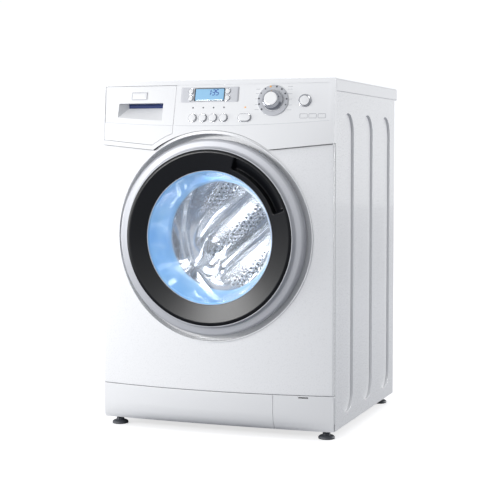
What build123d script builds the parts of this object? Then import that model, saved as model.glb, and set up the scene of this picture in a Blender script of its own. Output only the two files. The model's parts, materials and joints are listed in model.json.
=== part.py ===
from build123d import *
import os
from math import atan2, cos, degrees, pi, radians, sin, sqrt

os.makedirs("parts", exist_ok=True)

# Free-standing front-loading washer dryer, in millimetres.
# +X is the viewer's right, +Y is the back, +Z is up and the floor is z = 0.
# The origin lies on the floor, in the middle of the whole machine.
# A depth is counted from the front plane of the cabinet and grows to the back.

# Overall sizes
cabinet_width = 595.0
overall_height = 850.0
cabinet_depth = 560.0
worktop_reach = 587.0
worktop_thickness = 30.0
foot_clearance = 22.0
door_reach = 56.0
sheet = 1.2

# Most round pieces are many-sided, which keeps the whole machine a light model
ring_sides = 48
part_sides = 24
pin_sides = 16
hexagon = 6
trim_margin = 5.0

# Bowed front
panel_proud = 6.0
panel_bulge = 32.0
panel_side_gap = 1.0
panel_rear = 8.0
plinth_height = 85.0
seam = 0.8

# Door and drum axis
door_height = 475.0
door_radius = 234.5
frame_inner = 209.5
glass_radius = 160.0
well_radius = 247.0
bead_width = 2.5
bead_proud = 2.5
porthole_radius = 168.0
dish_depth = -8.0

# Worked out once from the sizes above
half_width = cabinet_width / 2
face_half = half_width - panel_side_gap
cabinet_top = overall_height - worktop_thickness
plinth_top = foot_clearance + plinth_height
front_y = (door_reach - worktop_reach) / 2
bow_radius = (face_half**2 + panel_bulge**2) / (2 * panel_bulge)

drum_place = (0, door_height)
drum_centre = Vector(0, front_y, door_height)
drum_axis = Axis(drum_centre, (0, 1, 0))


def deep(depth):
    """Y of a depth behind the front plane."""
    return front_y + depth


def bow_depth(x):
    """Depth of the bowed front face at x."""
    return bow_radius - sqrt(bow_radius**2 - x**2) - panel_bulge - panel_proud


def facing(depth):
    """Upright plane that looks out of the front, with x to the right and z up."""
    return Plane(origin=(0, deep(depth), 0), x_dir=(1, 0, 0), z_dir=(0, -1, 0))


def slab(x_span, depth_span, z_span, mode=Mode.ADD):
    """Rectangular block between two x, two depths and two heights."""
    with BuildSketch(Plane.XY.offset(z_span[0])) as base:
        with Locations((sum(x_span) / 2, deep(sum(depth_span) / 2))):
            Rectangle(x_span[1] - x_span[0], depth_span[1] - depth_span[0])
    extrude(base.sketch, amount=z_span[1] - z_span[0], mode=mode)


def round_outline(radius, sides=part_sides, bore=False, mode=Mode.ADD):
    """Many-sided outline with its corners on the circle, or for a bore with its flats on it."""
    RegularPolygon(radius, sides, major_radius=not bore, mode=mode)


def long_outline(length, width, rotation=0.0):
    """Outline of a slot with many-sided round ends."""
    shift = (length - width) / 2
    turns = [pi * (2 * step / part_sides - 0.5) for step in range(part_sides // 2 + 1)]
    right = [(shift + width / 2 * cos(turn), width / 2 * sin(turn)) for turn in turns]
    Polygon(*right, *[(-x, -y) for x, y in right], align=None, rotation=rotation)


def tapered(plane, radii, height, sides=part_sides):
    """Many-sided block that goes from one radius to another over a height."""
    with BuildSketch(plane) as base:
        round_outline(radii[0], sides)
    narrowing = (radii[0] - radii[1]) * cos(pi / sides)
    extrude(base.sketch, amount=height, taper=degrees(atan2(narrowing, height)))


def disc(radius, near, far, place, sides=part_sides, mode=Mode.ADD, bore=False):
    """Round block along Y between two depths, centred on a place in the front view."""
    with BuildSketch(facing(near)) as base:
        with Locations(place):
            round_outline(radius, sides, bore)
    extrude(base.sketch, amount=near - far, mode=mode)


def section_plane(angle):
    """Plane through the drum axis, with x along the depth and y out at an angle of the front view."""
    out = Vector(cos(radians(angle)), 0, sin(radians(angle)))
    return Plane(origin=drum_centre, x_dir=(0, 1, 0), z_dir=Vector(0, 1, 0).cross(out))


def ring(points):
    """Carry a closed outline of (depth, radius) points round the drum axis with mitred corners."""
    flat = 180 / ring_sides
    inward = cos(radians(flat))
    with BuildSketch(section_plane(flat)) as profile:
        with BuildLine():
            Polyline(*[(depth, radius * inward) for depth, radius in points], close=True)
        make_face()
    radius = points[0][1]
    out = section_plane(flat).y_dir
    with BuildLine(Plane(origin=drum_centre, x_dir=out, z_dir=(0, -1, 0))) as path:
        turns = [radians(flat * (2 * step + 1)) for step in range(ring_sides)]
        corners = [(radius * cos(turn), radius * sin(turn)) for turn in turns]
        Polyline((radius * inward, 0), *corners, close=True)
    sweep(profile.sketch, path=path.line, transition=Transition.RIGHT)


def turned(points, start, arc, mode=Mode.ADD):
    """Turn a closed outline of (depth, radius) points about the drum axis, clockwise from an angle."""
    with BuildSketch(section_plane(start)) as profile:
        with BuildLine():
            Polyline(*points, close=True)
        make_face()
    revolve(profile.sketch, axis=drum_axis, revolution_arc=arc, mode=mode)


def bowed_section(height, surface, x_span, set_back, far_depth):
    """Plan of a block with one bowed side, at a height; surface gives the depth at each x."""
    x_low, x_high = x_span
    x_mid = (x_low + x_high) / 2
    with BuildSketch(Plane.XY.offset(height)) as section:
        with BuildLine():
            front = ThreePointArc(
                (x_low, deep(surface(x_low) + set_back)),
                (x_mid, deep(surface(x_mid) + set_back)),
                (x_high, deep(surface(x_high) + set_back)),
            )
            Polyline(front @ 1, (x_high, deep(far_depth)), (x_low, deep(far_depth)), front @ 0)
        make_face()
    return section.sketch


def skin(levels, x_span, set_back, far_depth, mode=Mode.ADD):
    """Ruled solid between bowed plans, given as heights and the surface at each, and a flat depth."""
    sections = [bowed_section(height, surface, x_span, set_back, far_depth) for height, surface in levels]
    loft(sections, ruled=True, mode=mode)


def bowed_slab(z_span, x_span, set_back, far_depth, mode=Mode.ADD):
    """Upright solid between the bowed front and a flat depth."""
    section = bowed_section(z_span[0], bow_depth, x_span, set_back, far_depth)
    extrude(section, amount=z_span[1] - z_span[0], mode=mode)


# Control fascia: a leaning face, nearly straight at its top edge, bowed at its foot
fascia_half = half_width + 1.0
fascia_wall = 3.0
fascia_foot = 690.0
fascia_step = 8.0
fascia_side_foot = 698.0
fascia_arch_foot = 683.5
fascia_arch_radius = 255.0
fascia_top_share = 0.1
field_top = overall_height - 11.0
field_right = 286.0
field_sink = 1.5
crease_side = 751.0
crease_middle = 740.0
arch_foot_x = sqrt(fascia_arch_radius**2 - (fascia_arch_foot - door_height) ** 2)


def fascia_depth(x, z):
    """Depth of the fascia's face at a point of the front view."""
    share = fascia_top_share + (1 - fascia_top_share) * (overall_height - z) / (overall_height - fascia_foot)
    return share * (bow_depth(x) - fascia_step)


def fascia_levels(low, high):
    """Two levels that the leaning face is ruled between."""
    return [(low, lambda x: fascia_depth(x, low)), (high, lambda x: fascia_depth(x, high))]


def control_plane(x, z, sink=field_sink):
    """Plane on the control field at a point, looking straight out of it."""
    step = 1.0
    along_x = Vector(2 * step, fascia_depth(x + step, z) - fascia_depth(x - step, z), 0)
    along_z = Vector(0, fascia_depth(x, z + step) - fascia_depth(x, z - step), 2 * step)
    out = along_x.cross(along_z).normalized()
    return Plane(origin=(x, deep(fascia_depth(x, z) + sink), z), x_dir=along_x, z_dir=out)


def fascia_outline(grow=0.0, mode=Mode.ADD):
    """Front view of all that is at and above the fascia's lower edge, moved down by grow."""
    side = fascia_half + trim_margin
    top = overall_height + trim_margin
    with BuildLine() as edge:
        arch = ThreePointArc(
            (-arch_foot_x, fascia_arch_foot - grow),
            (0, door_height + fascia_arch_radius - grow),
            (arch_foot_x, fascia_arch_foot - grow),
        )
        Polyline(
            arch @ 1,
            (fascia_half, fascia_side_foot - grow),
            (side, fascia_side_foot - grow),
            (side, top),
            (-side, top),
            (-side, fascia_side_foot - grow),
            (-fascia_half, fascia_side_foot - grow),
            arch @ 0,
        )
    make_face(edge.edges(), mode=mode)


# Detergent drawer front, in the front view
drawer_left = -289.5
drawer_right = -98.0
drawer_gap = 0.8
drawer_arc_radius = fascia_arch_radius + 11.0
drawer_side_foot = fascia_side_foot + 10.0
drawer_foot_x = -150.0
drawer_wall = 3.0


def drawer_outline(inset):
    """Front view of the drawer front, held in from its opening by inset."""
    left = drawer_left + inset
    right = drawer_right - inset
    radius = drawer_arc_radius + inset
    foot_z = door_height + sqrt(radius**2 - drawer_foot_x**2)
    right_z = door_height + sqrt(radius**2 - right**2)
    middle_x = (drawer_foot_x + right) / 2
    middle_z = door_height + sqrt(radius**2 - middle_x**2)
    with BuildLine() as edge:
        curve = ThreePointArc((drawer_foot_x, foot_z), (middle_x, middle_z), (right, right_z))
        Polyline(
            curve @ 1,
            (right, field_top - inset),
            (left, field_top - inset),
            (left, drawer_side_foot + inset),
            curve @ 0,
        )
    make_face(edge.edges())


# Cabinet shell: one bent sheet for both sides and the back, with pressed grooves
flange_width = 14.0
groove_width = 98.0
groove_low = 50.0
groove_high = cabinet_top - 49.0
groove_depth = 6.0
groove_first = 111.0
groove_pitch = 176.0
rail_depth = 290.0
rail_width = 26.0
rail_top = cabinet_top - 14.0
rail_sheet = 2.0
rail_lip = 12.0
access_half = 210.0
access_low = 150.0
access_high = 700.0
service_height = cabinet_top - 35.0
valve_xs = (-215.0, -165.0)
valve_hole = 14.5
drain_x = -105.0
drain_hole = 11.5
gland_x = 230.0
gland_hole = 8.0
groove_depths = [groove_first + groove_pitch * i for i in range(3)]
inner_half = half_width - sheet
rear_inside = cabinet_depth - sheet

with BuildPart() as cabinet_shell:
    slab((-half_width, half_width), (panel_rear, cabinet_depth), (foot_clearance, cabinet_top))
    slab(
        (-inner_half, inner_half),
        (panel_rear + sheet, rear_inside),
        (foot_clearance, cabinet_top),
        Mode.SUBTRACT,
    )
    slab(
        (-half_width + flange_width, half_width - flange_width),
        (panel_rear, panel_rear + sheet),
        (foot_clearance, cabinet_top),
        Mode.SUBTRACT,
    )
    for side in (-1, 1):
        for width, depth, mode in (
            (groove_width + 2 * sheet, groove_depth + sheet, Mode.ADD),
            (groove_width, groove_depth, Mode.SUBTRACT),
        ):
            with BuildSketch(Plane.YZ.offset(side * half_width)):
                with Locations(*[(deep(d), (groove_low + groove_high) / 2) for d in groove_depths]):
                    long_outline(groove_high - groove_low + width - groove_width, width, rotation=90)
            extrude(amount=-side * depth, mode=mode)
    slab(
        (-access_half, access_half),
        (rear_inside, cabinet_depth),
        (access_low, access_high),
        Mode.SUBTRACT,
    )
    with BuildSketch(facing(rear_inside)):
        with Locations(*[(x, service_height) for x in valve_xs]):
            round_outline(valve_hole, pin_sides, bore=True)
        with Locations((drain_x, service_height)):
            round_outline(drain_hole, pin_sides, bore=True)
        with Locations((gland_x, service_height)):
            round_outline(gland_hole, pin_sides, bore=True)
    extrude(amount=-sheet, mode=Mode.SUBTRACT)
    slab(
        (-inner_half, inner_half),
        (rail_depth - rail_width / 2, rail_depth + rail_width / 2),
        (rail_top - rail_sheet, rail_top),
    )
    slab(
        (-inner_half, inner_half),
        (rail_depth + rail_width / 2 - rail_sheet, rail_depth + rail_width / 2),
        (rail_top - rail_lip, rail_top),
    )
cabinet_shell.part.label = "cabinet_shell"
export_step(cabinet_shell.part, "parts/cabinet_shell.step")

# Rear access cover, screwed over the opening in the back
cover_lap = 15.0
cover_rib_length = 300.0
cover_rib_width = 46.0
cover_rib_height = 4.0
cover_rib_pitch = 150.0
screw_flats = 8.0
screw_head = 3.6
screw_rows = 4

with BuildPart() as back_cover:
    slab(
        (-access_half - cover_lap, access_half + cover_lap),
        (cabinet_depth, cabinet_depth + sheet),
        (access_low - cover_lap, access_high + cover_lap),
    )
    for width, mode, low, high in (
        (cover_rib_width + 2 * sheet, Mode.ADD, sheet, cover_rib_height + sheet),
        (cover_rib_width, Mode.SUBTRACT, 0, cover_rib_height),
    ):
        with BuildSketch(facing(cabinet_depth + low)):
            with Locations((0, (access_low + access_high) / 2)):
                with GridLocations(0, cover_rib_pitch, 1, 3):
                    long_outline(cover_rib_length + width - cover_rib_width, width)
        extrude(amount=low - high, mode=mode)
back_cover.part.label = "back_cover"
export_step(back_cover.part, "parts/back_cover.step")

with BuildPart() as cover_screws:
    with BuildSketch(facing(cabinet_depth + sheet)):
        with Locations((0, (access_low + access_high) / 2)):
            with GridLocations(
                2 * access_half + cover_lap,
                (access_high - access_low + cover_lap) / (screw_rows - 1),
                2,
                screw_rows,
            ):
                RegularPolygon(screw_flats / 2, hexagon, major_radius=False)
    extrude(amount=-screw_head)
cover_screws.part.label = "cover_screws"
export_step(cover_screws.part, "parts/cover_screws.step")

# Base tray with the bosses that the feet screw into and the damper brackets
tray_height = 16.0
tray_wall = 2.0
tray_front = panel_rear + sheet
foot_x = half_width - 27.5
foot_front = 30.0
foot_rear = cabinet_depth - 42.0
stem_radius = 5.0
thread_clearance = 0.05
boss_radius = 11.0
boss_height = 20.0
damper_x = 150.0
damper_depth = 178.0
damper_foot = 9.0
damper_radius = 13.0
foot_places = [(x, d) for x in (-foot_x, foot_x) for d in (foot_front, foot_rear)]
tray_floor = foot_clearance + tray_wall

with BuildPart() as base_tray:
    slab((-inner_half, inner_half), (tray_front, rear_inside), (foot_clearance, foot_clearance + tray_height))
    slab(
        (-inner_half + tray_wall, inner_half - tray_wall),
        (tray_front + tray_wall, rear_inside - tray_wall),
        (tray_floor, foot_clearance + tray_height),
        Mode.SUBTRACT,
    )
    with BuildSketch(Plane.XY.offset(foot_clearance)):
        with Locations(*[(x, deep(d)) for x, d in foot_places]):
            round_outline(boss_radius, pin_sides)
    extrude(amount=boss_height)
    for side in (-1, 1):
        slab(
            (side * damper_x - damper_radius, side * damper_x + damper_radius),
            (damper_depth - damper_radius, damper_depth + damper_radius),
            (tray_floor, tray_floor + damper_foot),
        )
    with BuildSketch(Plane.XY.offset(foot_clearance)):
        with Locations(*[(x, deep(d)) for x, d in foot_places]):
            round_outline(stem_radius + thread_clearance, pin_sides, bore=True)
    extrude(amount=boss_height, mode=Mode.SUBTRACT)
base_tray.part.label = "base_tray"
export_step(base_tray.part, "parts/base_tray.step")

# Four levelling feet: rubber pad, hexagon and threaded stem
pad_radius = 20.0
pad_height = 9.0
pad_neck = 14.0
foot_hex = 17.0
foot_hex_height = 6.0
stem_top = 48.0

for corner, (x, d) in zip(("left_front", "left_rear", "right_front", "right_rear"), foot_places):
    with BuildPart() as foot:
        tapered(Plane((x, deep(d), 0)), (pad_radius, pad_neck), pad_height)
        with BuildSketch(Plane.XY.offset(pad_height)):
            with Locations((x, deep(d))):
                RegularPolygon(foot_hex / 2, hexagon, major_radius=False)
        extrude(amount=foot_hex_height)
        with BuildSketch(Plane.XY.offset(pad_height)):
            with Locations((x, deep(d))):
                round_outline(stem_radius, pin_sides)
        extrude(amount=stem_top - pad_height)
    foot.part.label = f"foot_{corner}"
    export_step(foot.part, f"parts/foot_{corner}.step")

# Worktop: laminated board with softened edges
worktop_front = 10.0
worktop_edge = 3.0

with BuildPart() as worktop:
    slab((-fascia_half, fascia_half), (worktop_front, worktop_reach), (cabinet_top, overall_height))
    chamfer(worktop.edges().group_by(Axis.Z)[-1], worktop_edge)
    chamfer(worktop.edges().filter_by(Axis.Z).sort_by(Axis.Y)[-2:], worktop_edge)
worktop.part.label = "worktop"
export_step(worktop.part, "parts/worktop.step")

# Front panel: bowed sheet with a pressed well around the door and a dished floor
lock_slot = (196.0, 217.0)
lock_slot_half = 13.0
panel_low = plinth_top + seam
panel_high = door_height + fascia_arch_radius
front_reach = -100.0
panel_span = (panel_low, panel_high)

with BuildPart() as front_panel:
    bowed_slab(panel_span, (-face_half, face_half), 0, panel_rear)
    bowed_slab(panel_span, (-face_half + sheet, face_half - sheet), sheet, panel_rear, Mode.SUBTRACT)
    disc(well_radius + bead_width, front_reach, dish_depth + sheet, drum_place, ring_sides)
    disc(well_radius, front_reach, dish_depth, drum_place, ring_sides, Mode.SUBTRACT)
    disc(porthole_radius, dish_depth, dish_depth + sheet, drum_place, ring_sides, Mode.SUBTRACT)
    bowed_slab(panel_span, (-fascia_half, fascia_half), -bead_proud, front_reach, Mode.SUBTRACT)
    with BuildSketch(facing(front_reach)):
        fascia_outline(seam)
    extrude(amount=-(panel_rear - front_reach), mode=Mode.SUBTRACT)
    slab(
        lock_slot,
        (dish_depth, dish_depth + sheet),
        (door_height - lock_slot_half, door_height + lock_slot_half),
        Mode.SUBTRACT,
    )
front_panel.part.label = "front_panel"
export_step(front_panel.part, "parts/front_panel.step")

# Plinth and filter flap: the bowed face rolls back under to a nearly straight foot
plinth_wall = 2.5
plinth_roll = 42.0
plinth_shares = ((1.0, 1.0), (0.52, 0.88), (0.19, 0.62), (0.0, 0.3))
flap_left = 155.8
flap_right = face_half
flap_rear = 1.0
finger_slot = (216.0, 239.0)
finger_slot_height = 3.0


def plinth_levels(low, high):
    """Levels of the face from its straight upper part to its rolled foot."""
    levels = [(high, bow_depth)]
    for rise, share in plinth_shares:
        height = low + rise * plinth_roll
        levels.append((height, lambda x, s=share: s * bow_depth(x)))
    return levels


with BuildPart() as plinth:
    skin(plinth_levels(foot_clearance, plinth_top), (-face_half, flap_left - seam), 0, panel_rear)
    skin(
        plinth_levels(foot_clearance + plinth_wall, plinth_top + plinth_wall),
        (-face_half + plinth_wall, flap_left - seam - plinth_wall),
        plinth_wall,
        panel_rear,
        Mode.SUBTRACT,
    )
plinth.part.label = "plinth"
export_step(plinth.part, "parts/plinth.step")

with BuildPart() as filter_flap:
    skin(plinth_levels(foot_clearance, plinth_top), (flap_left, flap_right), 0, flap_rear)
    skin(
        plinth_levels(foot_clearance + plinth_wall, plinth_top + plinth_wall),
        (flap_left + plinth_wall, flap_right - plinth_wall),
        plinth_wall,
        panel_rear,
        Mode.SUBTRACT,
    )
    slab(
        finger_slot,
        (front_reach, flap_rear),
        (plinth_top - 2 * finger_slot_height, plinth_top - finger_slot_height),
        Mode.SUBTRACT,
    )
filter_flap.part.label = "filter_flap"
export_step(filter_flap.part, "parts/filter_flap.step")

face_low = fascia_arch_foot - trim_margin

# Tool that sinks the control field into the fascia and the drawer front
with BuildPart() as field_tool:
    with BuildSketch(facing(front_reach)):
        with BuildLine():
            crease = ThreePointArc(
                (drawer_left, crease_side), (0, crease_middle), (field_right, crease_side)
            )
            Polyline(
                crease @ 1, (field_right, field_top), (drawer_left, field_top), crease @ 0
            )
        make_face()
    extrude(amount=front_reach)
    skin(
        fascia_levels(face_low, overall_height),
        (-fascia_half - 2, fascia_half + 2),
        field_sink,
        2 * -front_reach,
        Mode.SUBTRACT,
    )

# Controls: place, half sizes and travel of each button
mini_radius = 6.0
oval_size = (19.0, 17.0)
start_size = (30.0, 17.0)
power_radius = 11.5
button_gap = 0.4
button_stem = 9.0
button_travel = 1.5
key_reach = 3.5
option_reach = 5.0
power_reach = 5.5
mini_xs = (-58.5, 36.0)
mini_zs = (822.5, 806.2)
oval_xs = (-49.2, -22.8, 3.4, 29.8)
button_row = 759.0
start_x = 82.8
power_place = (227.0, 797.7)
knob_place = (149.9, 798.8)
dial_radius = 37.5
dial_thickness = 2.0
knob_bore = 5.0
display_centre = (-10.3, 815.0)
display_window = (77.0, 32.0)


def oval_button(grow):
    """Outline of an oval button, wider by grow all round."""
    long_outline(oval_size[0] + 2 * grow, oval_size[1] + 2 * grow)


def start_button(grow):
    """Outline of the long start button, wider by grow all round."""
    long_outline(start_size[0] + 2 * grow, start_size[1] + 2 * grow)


buttons = {}
for place_x, side_name in zip(mini_xs, ("left", "right")):
    for place_z, row_name in zip(mini_zs, ("upper", "lower")):
        buttons[f"{row_name}_{side_name}_key"] = (
            (place_x, place_z),
            lambda grow: round_outline(mini_radius + grow),
            key_reach,
        )
for number, place_x in enumerate(oval_xs, 1):
    buttons[f"option_button_{number}"] = ((place_x, button_row), oval_button, option_reach)
buttons["start_button"] = ((start_x, button_row), start_button, option_reach)
buttons["power_button"] = (power_place, lambda grow: round_outline(power_radius + grow), power_reach)

# Control fascia, moulded shell with its openings
with BuildPart() as control_fascia:
    skin(fascia_levels(face_low, overall_height), (-fascia_half, fascia_half), 0, panel_rear)
    skin(
        fascia_levels(face_low - 1, overall_height - fascia_wall),
        (-fascia_half + fascia_wall, fascia_half - fascia_wall),
        fascia_wall,
        panel_rear,
        Mode.SUBTRACT,
    )
    with BuildSketch(facing(front_reach)):
        with Locations((0, fascia_side_foot)):
            Rectangle(2 * fascia_half + trim_margin, 2 * (overall_height - fascia_side_foot))
        fascia_outline(mode=Mode.SUBTRACT)
    extrude(amount=-(panel_rear - front_reach), mode=Mode.SUBTRACT)
    add(field_tool.part, mode=Mode.SUBTRACT)
    with BuildSketch(facing(front_reach)):
        drawer_outline(0)
    extrude(amount=-(panel_rear - front_reach), mode=Mode.SUBTRACT)
    for place, outline, _ in buttons.values():
        with BuildSketch(control_plane(*place)):
            outline(button_gap)
        extrude(amount=2 * fascia_wall, both=True, mode=Mode.SUBTRACT)
    with BuildSketch(control_plane(*knob_place).offset(-field_sink)):
        round_outline(dial_radius, ring_sides)
    extrude(amount=dial_thickness + field_sink)
    with BuildSketch(control_plane(*knob_place)):
        round_outline(knob_bore + thread_clearance, pin_sides, bore=True)
    extrude(amount=2 * fascia_wall, both=True, mode=Mode.SUBTRACT)
    with BuildSketch(control_plane(*display_centre)):
        Rectangle(*display_window)
    extrude(amount=2 * fascia_wall, both=True, mode=Mode.SUBTRACT)
control_fascia.part.label = "control_fascia"
export_step(control_fascia.part, "parts/control_fascia.step")

# Buttons, each a cap on a square stem
for name, (place, outline, reach) in buttons.items():
    with BuildPart() as button:
        with BuildSketch(control_plane(*place).offset(-fascia_wall)):
            outline(0)
        extrude(amount=fascia_wall + reach)
        with BuildSketch(control_plane(*place).offset(-fascia_wall - button_stem)):
            Rectangle(mini_radius, mini_radius)
        extrude(amount=button_stem)
    button.part.label = name
    export_step(button.part, f"parts/{name}.step")

# Programme knob: flared body, narrower cap and a spindle through the fascia
knob_radii = (24.5, 24.5, 19.5, 16.0)
knob_heights = (0.5, 4.0, 9.0, 20.0)
knob_spindle = 14.0

with BuildPart() as program_knob:
    knob_plane = control_plane(*knob_place).offset(dial_thickness)
    for radii, (low, high) in zip(zip(knob_radii, knob_radii[1:]), zip(knob_heights, knob_heights[1:])):
        tapered(knob_plane.offset(low), radii, high - low, ring_sides)
    with BuildSketch(knob_plane.offset(knob_heights[0])):
        round_outline(knob_bore, pin_sides)
    extrude(amount=-knob_spindle)
program_knob.part.label = "program_knob"
export_step(program_knob.part, "parts/program_knob.step")

# Display module: board behind the field with the display raised into its window
board_size = (166.0, 44.0)
board_thickness = 2.0
board_sink = fascia_wall + button_stem + button_travel + 1.0
glass_sink = 1.0
post_size = 5.0

with BuildPart() as display_module:
    with BuildSketch(control_plane(*display_centre).offset(-board_sink)):
        Rectangle(*board_size)
    extrude(amount=-board_thickness)
    with BuildSketch(control_plane(*display_centre).offset(-board_sink)):
        Rectangle(*display_window)
    extrude(amount=board_sink - glass_sink)
    with BuildSketch(control_plane(*display_centre).offset(-board_sink)):
        with GridLocations(board_size[0] - post_size, board_size[1] - post_size, 2, 2):
            Rectangle(post_size, post_size)
    extrude(amount=board_sink - fascia_wall + field_sink)
    skin(
        fascia_levels(face_low, overall_height + 1),
        (-fascia_half, fascia_half),
        fascia_wall,
        front_reach,
        Mode.SUBTRACT,
    )
    with BuildSketch(control_plane(*display_centre).offset(-fascia_wall - field_sink)):
        Rectangle(*display_window)
    extrude(amount=fascia_wall + field_sink - glass_sink)
display_module.part.label = "display_module"
export_step(display_module.part, "parts/display_module.step")

# Detergent drawer: front with a finger cup, and the tray behind it
cup_front = ((-260.0, -130.0), (754.0, 797.0))
cup_back = ((-236.0, -131.0), (785.0, 796.0))
cup_depths = (-24.0, 18.0)
cup_wall = 2.0
tray_span = (-282.0, -104.0)
tray_depths = (19.0, 232.0)
tray_heights = (744.0, 806.0)
tray_skin = 2.0
tray_dividers = (-226.0, -160.0)
housing_gap = 1.0
housing_wall = 2.0
housing_room = 20.0
spout_place = (-176.0, 190.0)
spout_radius = 13.0
spout_drop = 12.0


def cup(grow, mode):
    """Tapered finger cup that narrows from the front to the slot at its back."""
    (x_low, x_high), (z_low, z_high) = cup_front
    (x_near, x_far), (z_near, z_far) = cup_back
    with Locations((x_low - grow, deep(cup_depths[0]), z_low - grow)):
        Wedge(
            x_high - x_low + 2 * grow,
            cup_depths[1] - cup_depths[0],
            z_high - z_low + 2 * grow,
            x_near - x_low,
            z_near - z_low,
            x_far - x_low + 2 * grow,
            z_far - z_low + 2 * grow,
            align=Align.MIN,
            mode=mode,
        )


with BuildPart() as drawer_front:
    skin(fascia_levels(face_low, overall_height), (-fascia_half, fascia_half), 0, fascia_wall + panel_rear)
    skin(
        fascia_levels(face_low - 1, overall_height + 1),
        (-fascia_half - 1, fascia_half + 1),
        drawer_wall,
        2 * panel_rear,
        Mode.SUBTRACT,
    )
    cup(cup_wall, Mode.ADD)
    skin(
        fascia_levels(face_low, overall_height),
        (-fascia_half, fascia_half),
        0,
        front_reach,
        Mode.SUBTRACT,
    )
    with BuildSketch(facing(front_reach)):
        drawer_outline(drawer_gap)
    extrude(amount=2 * front_reach, mode=Mode.INTERSECT)
    add(field_tool.part, mode=Mode.SUBTRACT)
    cup(0, Mode.SUBTRACT)
drawer_front.part.label = "drawer_front"
export_step(drawer_front.part, "parts/drawer_front.step")

with BuildPart() as drawer_tray:
    slab(tray_span, tray_depths, tray_heights)
    half_skin = tray_skin / 2
    chambers = (tray_span[0] + half_skin, *tray_dividers, tray_span[1] - half_skin)
    for left, right in zip(chambers, chambers[1:]):
        slab(
            (left + half_skin, right - half_skin),
            (tray_depths[0] + tray_skin, tray_depths[1] - tray_skin),
            (tray_heights[0] + tray_skin, tray_heights[1]),
            Mode.SUBTRACT,
        )
    slab(
        (tray_span[0], tray_span[1]),
        (cup_depths[1], tray_depths[0]),
        (tray_heights[0], tray_heights[1]),
    )
drawer_tray.part.label = "drawer_tray"
export_step(drawer_tray.part, "parts/drawer_tray.step")

housing_outside = (tray_span[0] - housing_gap - housing_wall, tray_span[1] + housing_gap + housing_wall)
housing_low = tray_heights[0] - housing_gap - housing_wall
housing_rear = tray_depths[1] + housing_room

with BuildPart() as dispenser_housing:
    slab(housing_outside, (worktop_front, housing_rear), (housing_low, cabinet_top))
    slab(
        (tray_span[0] - housing_gap, tray_span[1] + housing_gap),
        (worktop_front, housing_rear - housing_wall),
        (housing_low + housing_wall, cabinet_top - housing_wall),
        Mode.SUBTRACT,
    )
    with BuildSketch(Plane.XY.offset(housing_low)):
        with Locations((spout_place[0], deep(spout_place[1]))):
            round_outline(spout_radius, pin_sides)
    extrude(amount=-spout_drop)
dispenser_housing.part.label = "dispenser_housing"
export_step(dispenser_housing.part, "parts/dispenser_housing.step")

# Water inlet valves, drain outlet and cable gland at the back
thread_radius = 13.2
thread_length = 16.0
strainer_radius = 9.0
strainer_sink = 3.0
valve_width = 28.0
valve_length = 56.0
bracket_margin = 4.0
spigot_radius = 10.5
spigot_bore = 8.5
spigot_length = 22.0
gland_size = (26.0, 20.0)
gland_length = 12.0
gland_bore = 4.0

with BuildPart() as inlet_valves:
    valve_mid = sum(valve_xs) / 2
    valve_pitch = valve_xs[1] - valve_xs[0]
    with BuildSketch(facing(rear_inside)):
        with Locations((valve_mid, service_height)):
            Rectangle(valve_pitch + valve_width + 2 * bracket_margin, valve_width + 2)
    extrude(amount=sheet)
    with BuildSketch(facing(rear_inside - sheet)):
        with Locations(*[(x, service_height) for x in valve_xs]):
            Rectangle(valve_width, valve_width)
    extrude(amount=valve_length)
    with BuildSketch(facing(rear_inside)):
        with Locations(*[(x, service_height) for x in valve_xs]):
            Circle(thread_radius)
    extrude(amount=-thread_length - sheet)
    with BuildSketch(facing(cabinet_depth + thread_length)):
        with Locations(*[(x, service_height) for x in valve_xs]):
            round_outline(strainer_radius, pin_sides)
    extrude(amount=strainer_sink, mode=Mode.SUBTRACT)
inlet_valves.part.label = "inlet_valves"
export_step(inlet_valves.part, "parts/inlet_valves.step")

with BuildPart() as drain_outlet:
    with BuildSketch(facing(rear_inside)):
        with Locations((drain_x, service_height)):
            Rectangle(3 * spigot_radius, 3 * spigot_radius)
    extrude(amount=2 * sheet)
    with BuildSketch(facing(rear_inside)):
        with Locations((drain_x, service_height)):
            Circle(spigot_radius)
    extrude(amount=-spigot_length - sheet)
    with BuildSketch(facing(cabinet_depth + spigot_length)):
        with Locations((drain_x, service_height)):
            round_outline(spigot_bore, pin_sides)
    extrude(amount=spigot_length + 3 * sheet, mode=Mode.SUBTRACT)
drain_outlet.part.label = "drain_outlet"
export_step(drain_outlet.part, "parts/drain_outlet.step")

with BuildPart() as cable_gland:
    with BuildSketch(facing(cabinet_depth)):
        with Locations((gland_x, service_height)):
            Rectangle(*gland_size)
    extrude(amount=-gland_length)
    with BuildSketch(facing(cabinet_depth + gland_length)):
        with Locations((gland_x, service_height)):
            round_outline(gland_bore, pin_sides)
    extrude(amount=gland_length / 2, mode=Mode.SUBTRACT)
cable_gland.part.label = "cable_gland"
export_step(cable_gland.part, "parts/cable_gland.step")

# Drain pump behind the flap, its impeller and the filter that unscrews from it
filter_x = 226.0
filter_height = 72.0
volute_radius = 33.0
volute_depths = (2.0, 64.0)
volute_bore = 30.0
volute_floor = 5.0
pump_motor_radius = 26.0
pump_motor_length = 60.0
filter_clearance = 0.06
filter_disc = (-4.0, 10.0)
filter_grip = (40.0, 10.0, 6.0)
filter_basket_radius = 22.0
filter_basket_end = 34.0
impeller_depths = (40.0, 54.0)
impeller_radius = 20.0
impeller_blades = 6
impeller_hub = 6.0
impeller_shaft = 3.0
impeller_blade = 2.0
shaft_gap = 0.5
pump_place = (filter_x, filter_height)
pump_foot_half = volute_radius / 2
pump_foot_front = 16.0
pump_foot_bite = 4.0
pump_motor_end = volute_depths[1] + pump_motor_length
volute_end = volute_depths[1] - volute_floor

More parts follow.
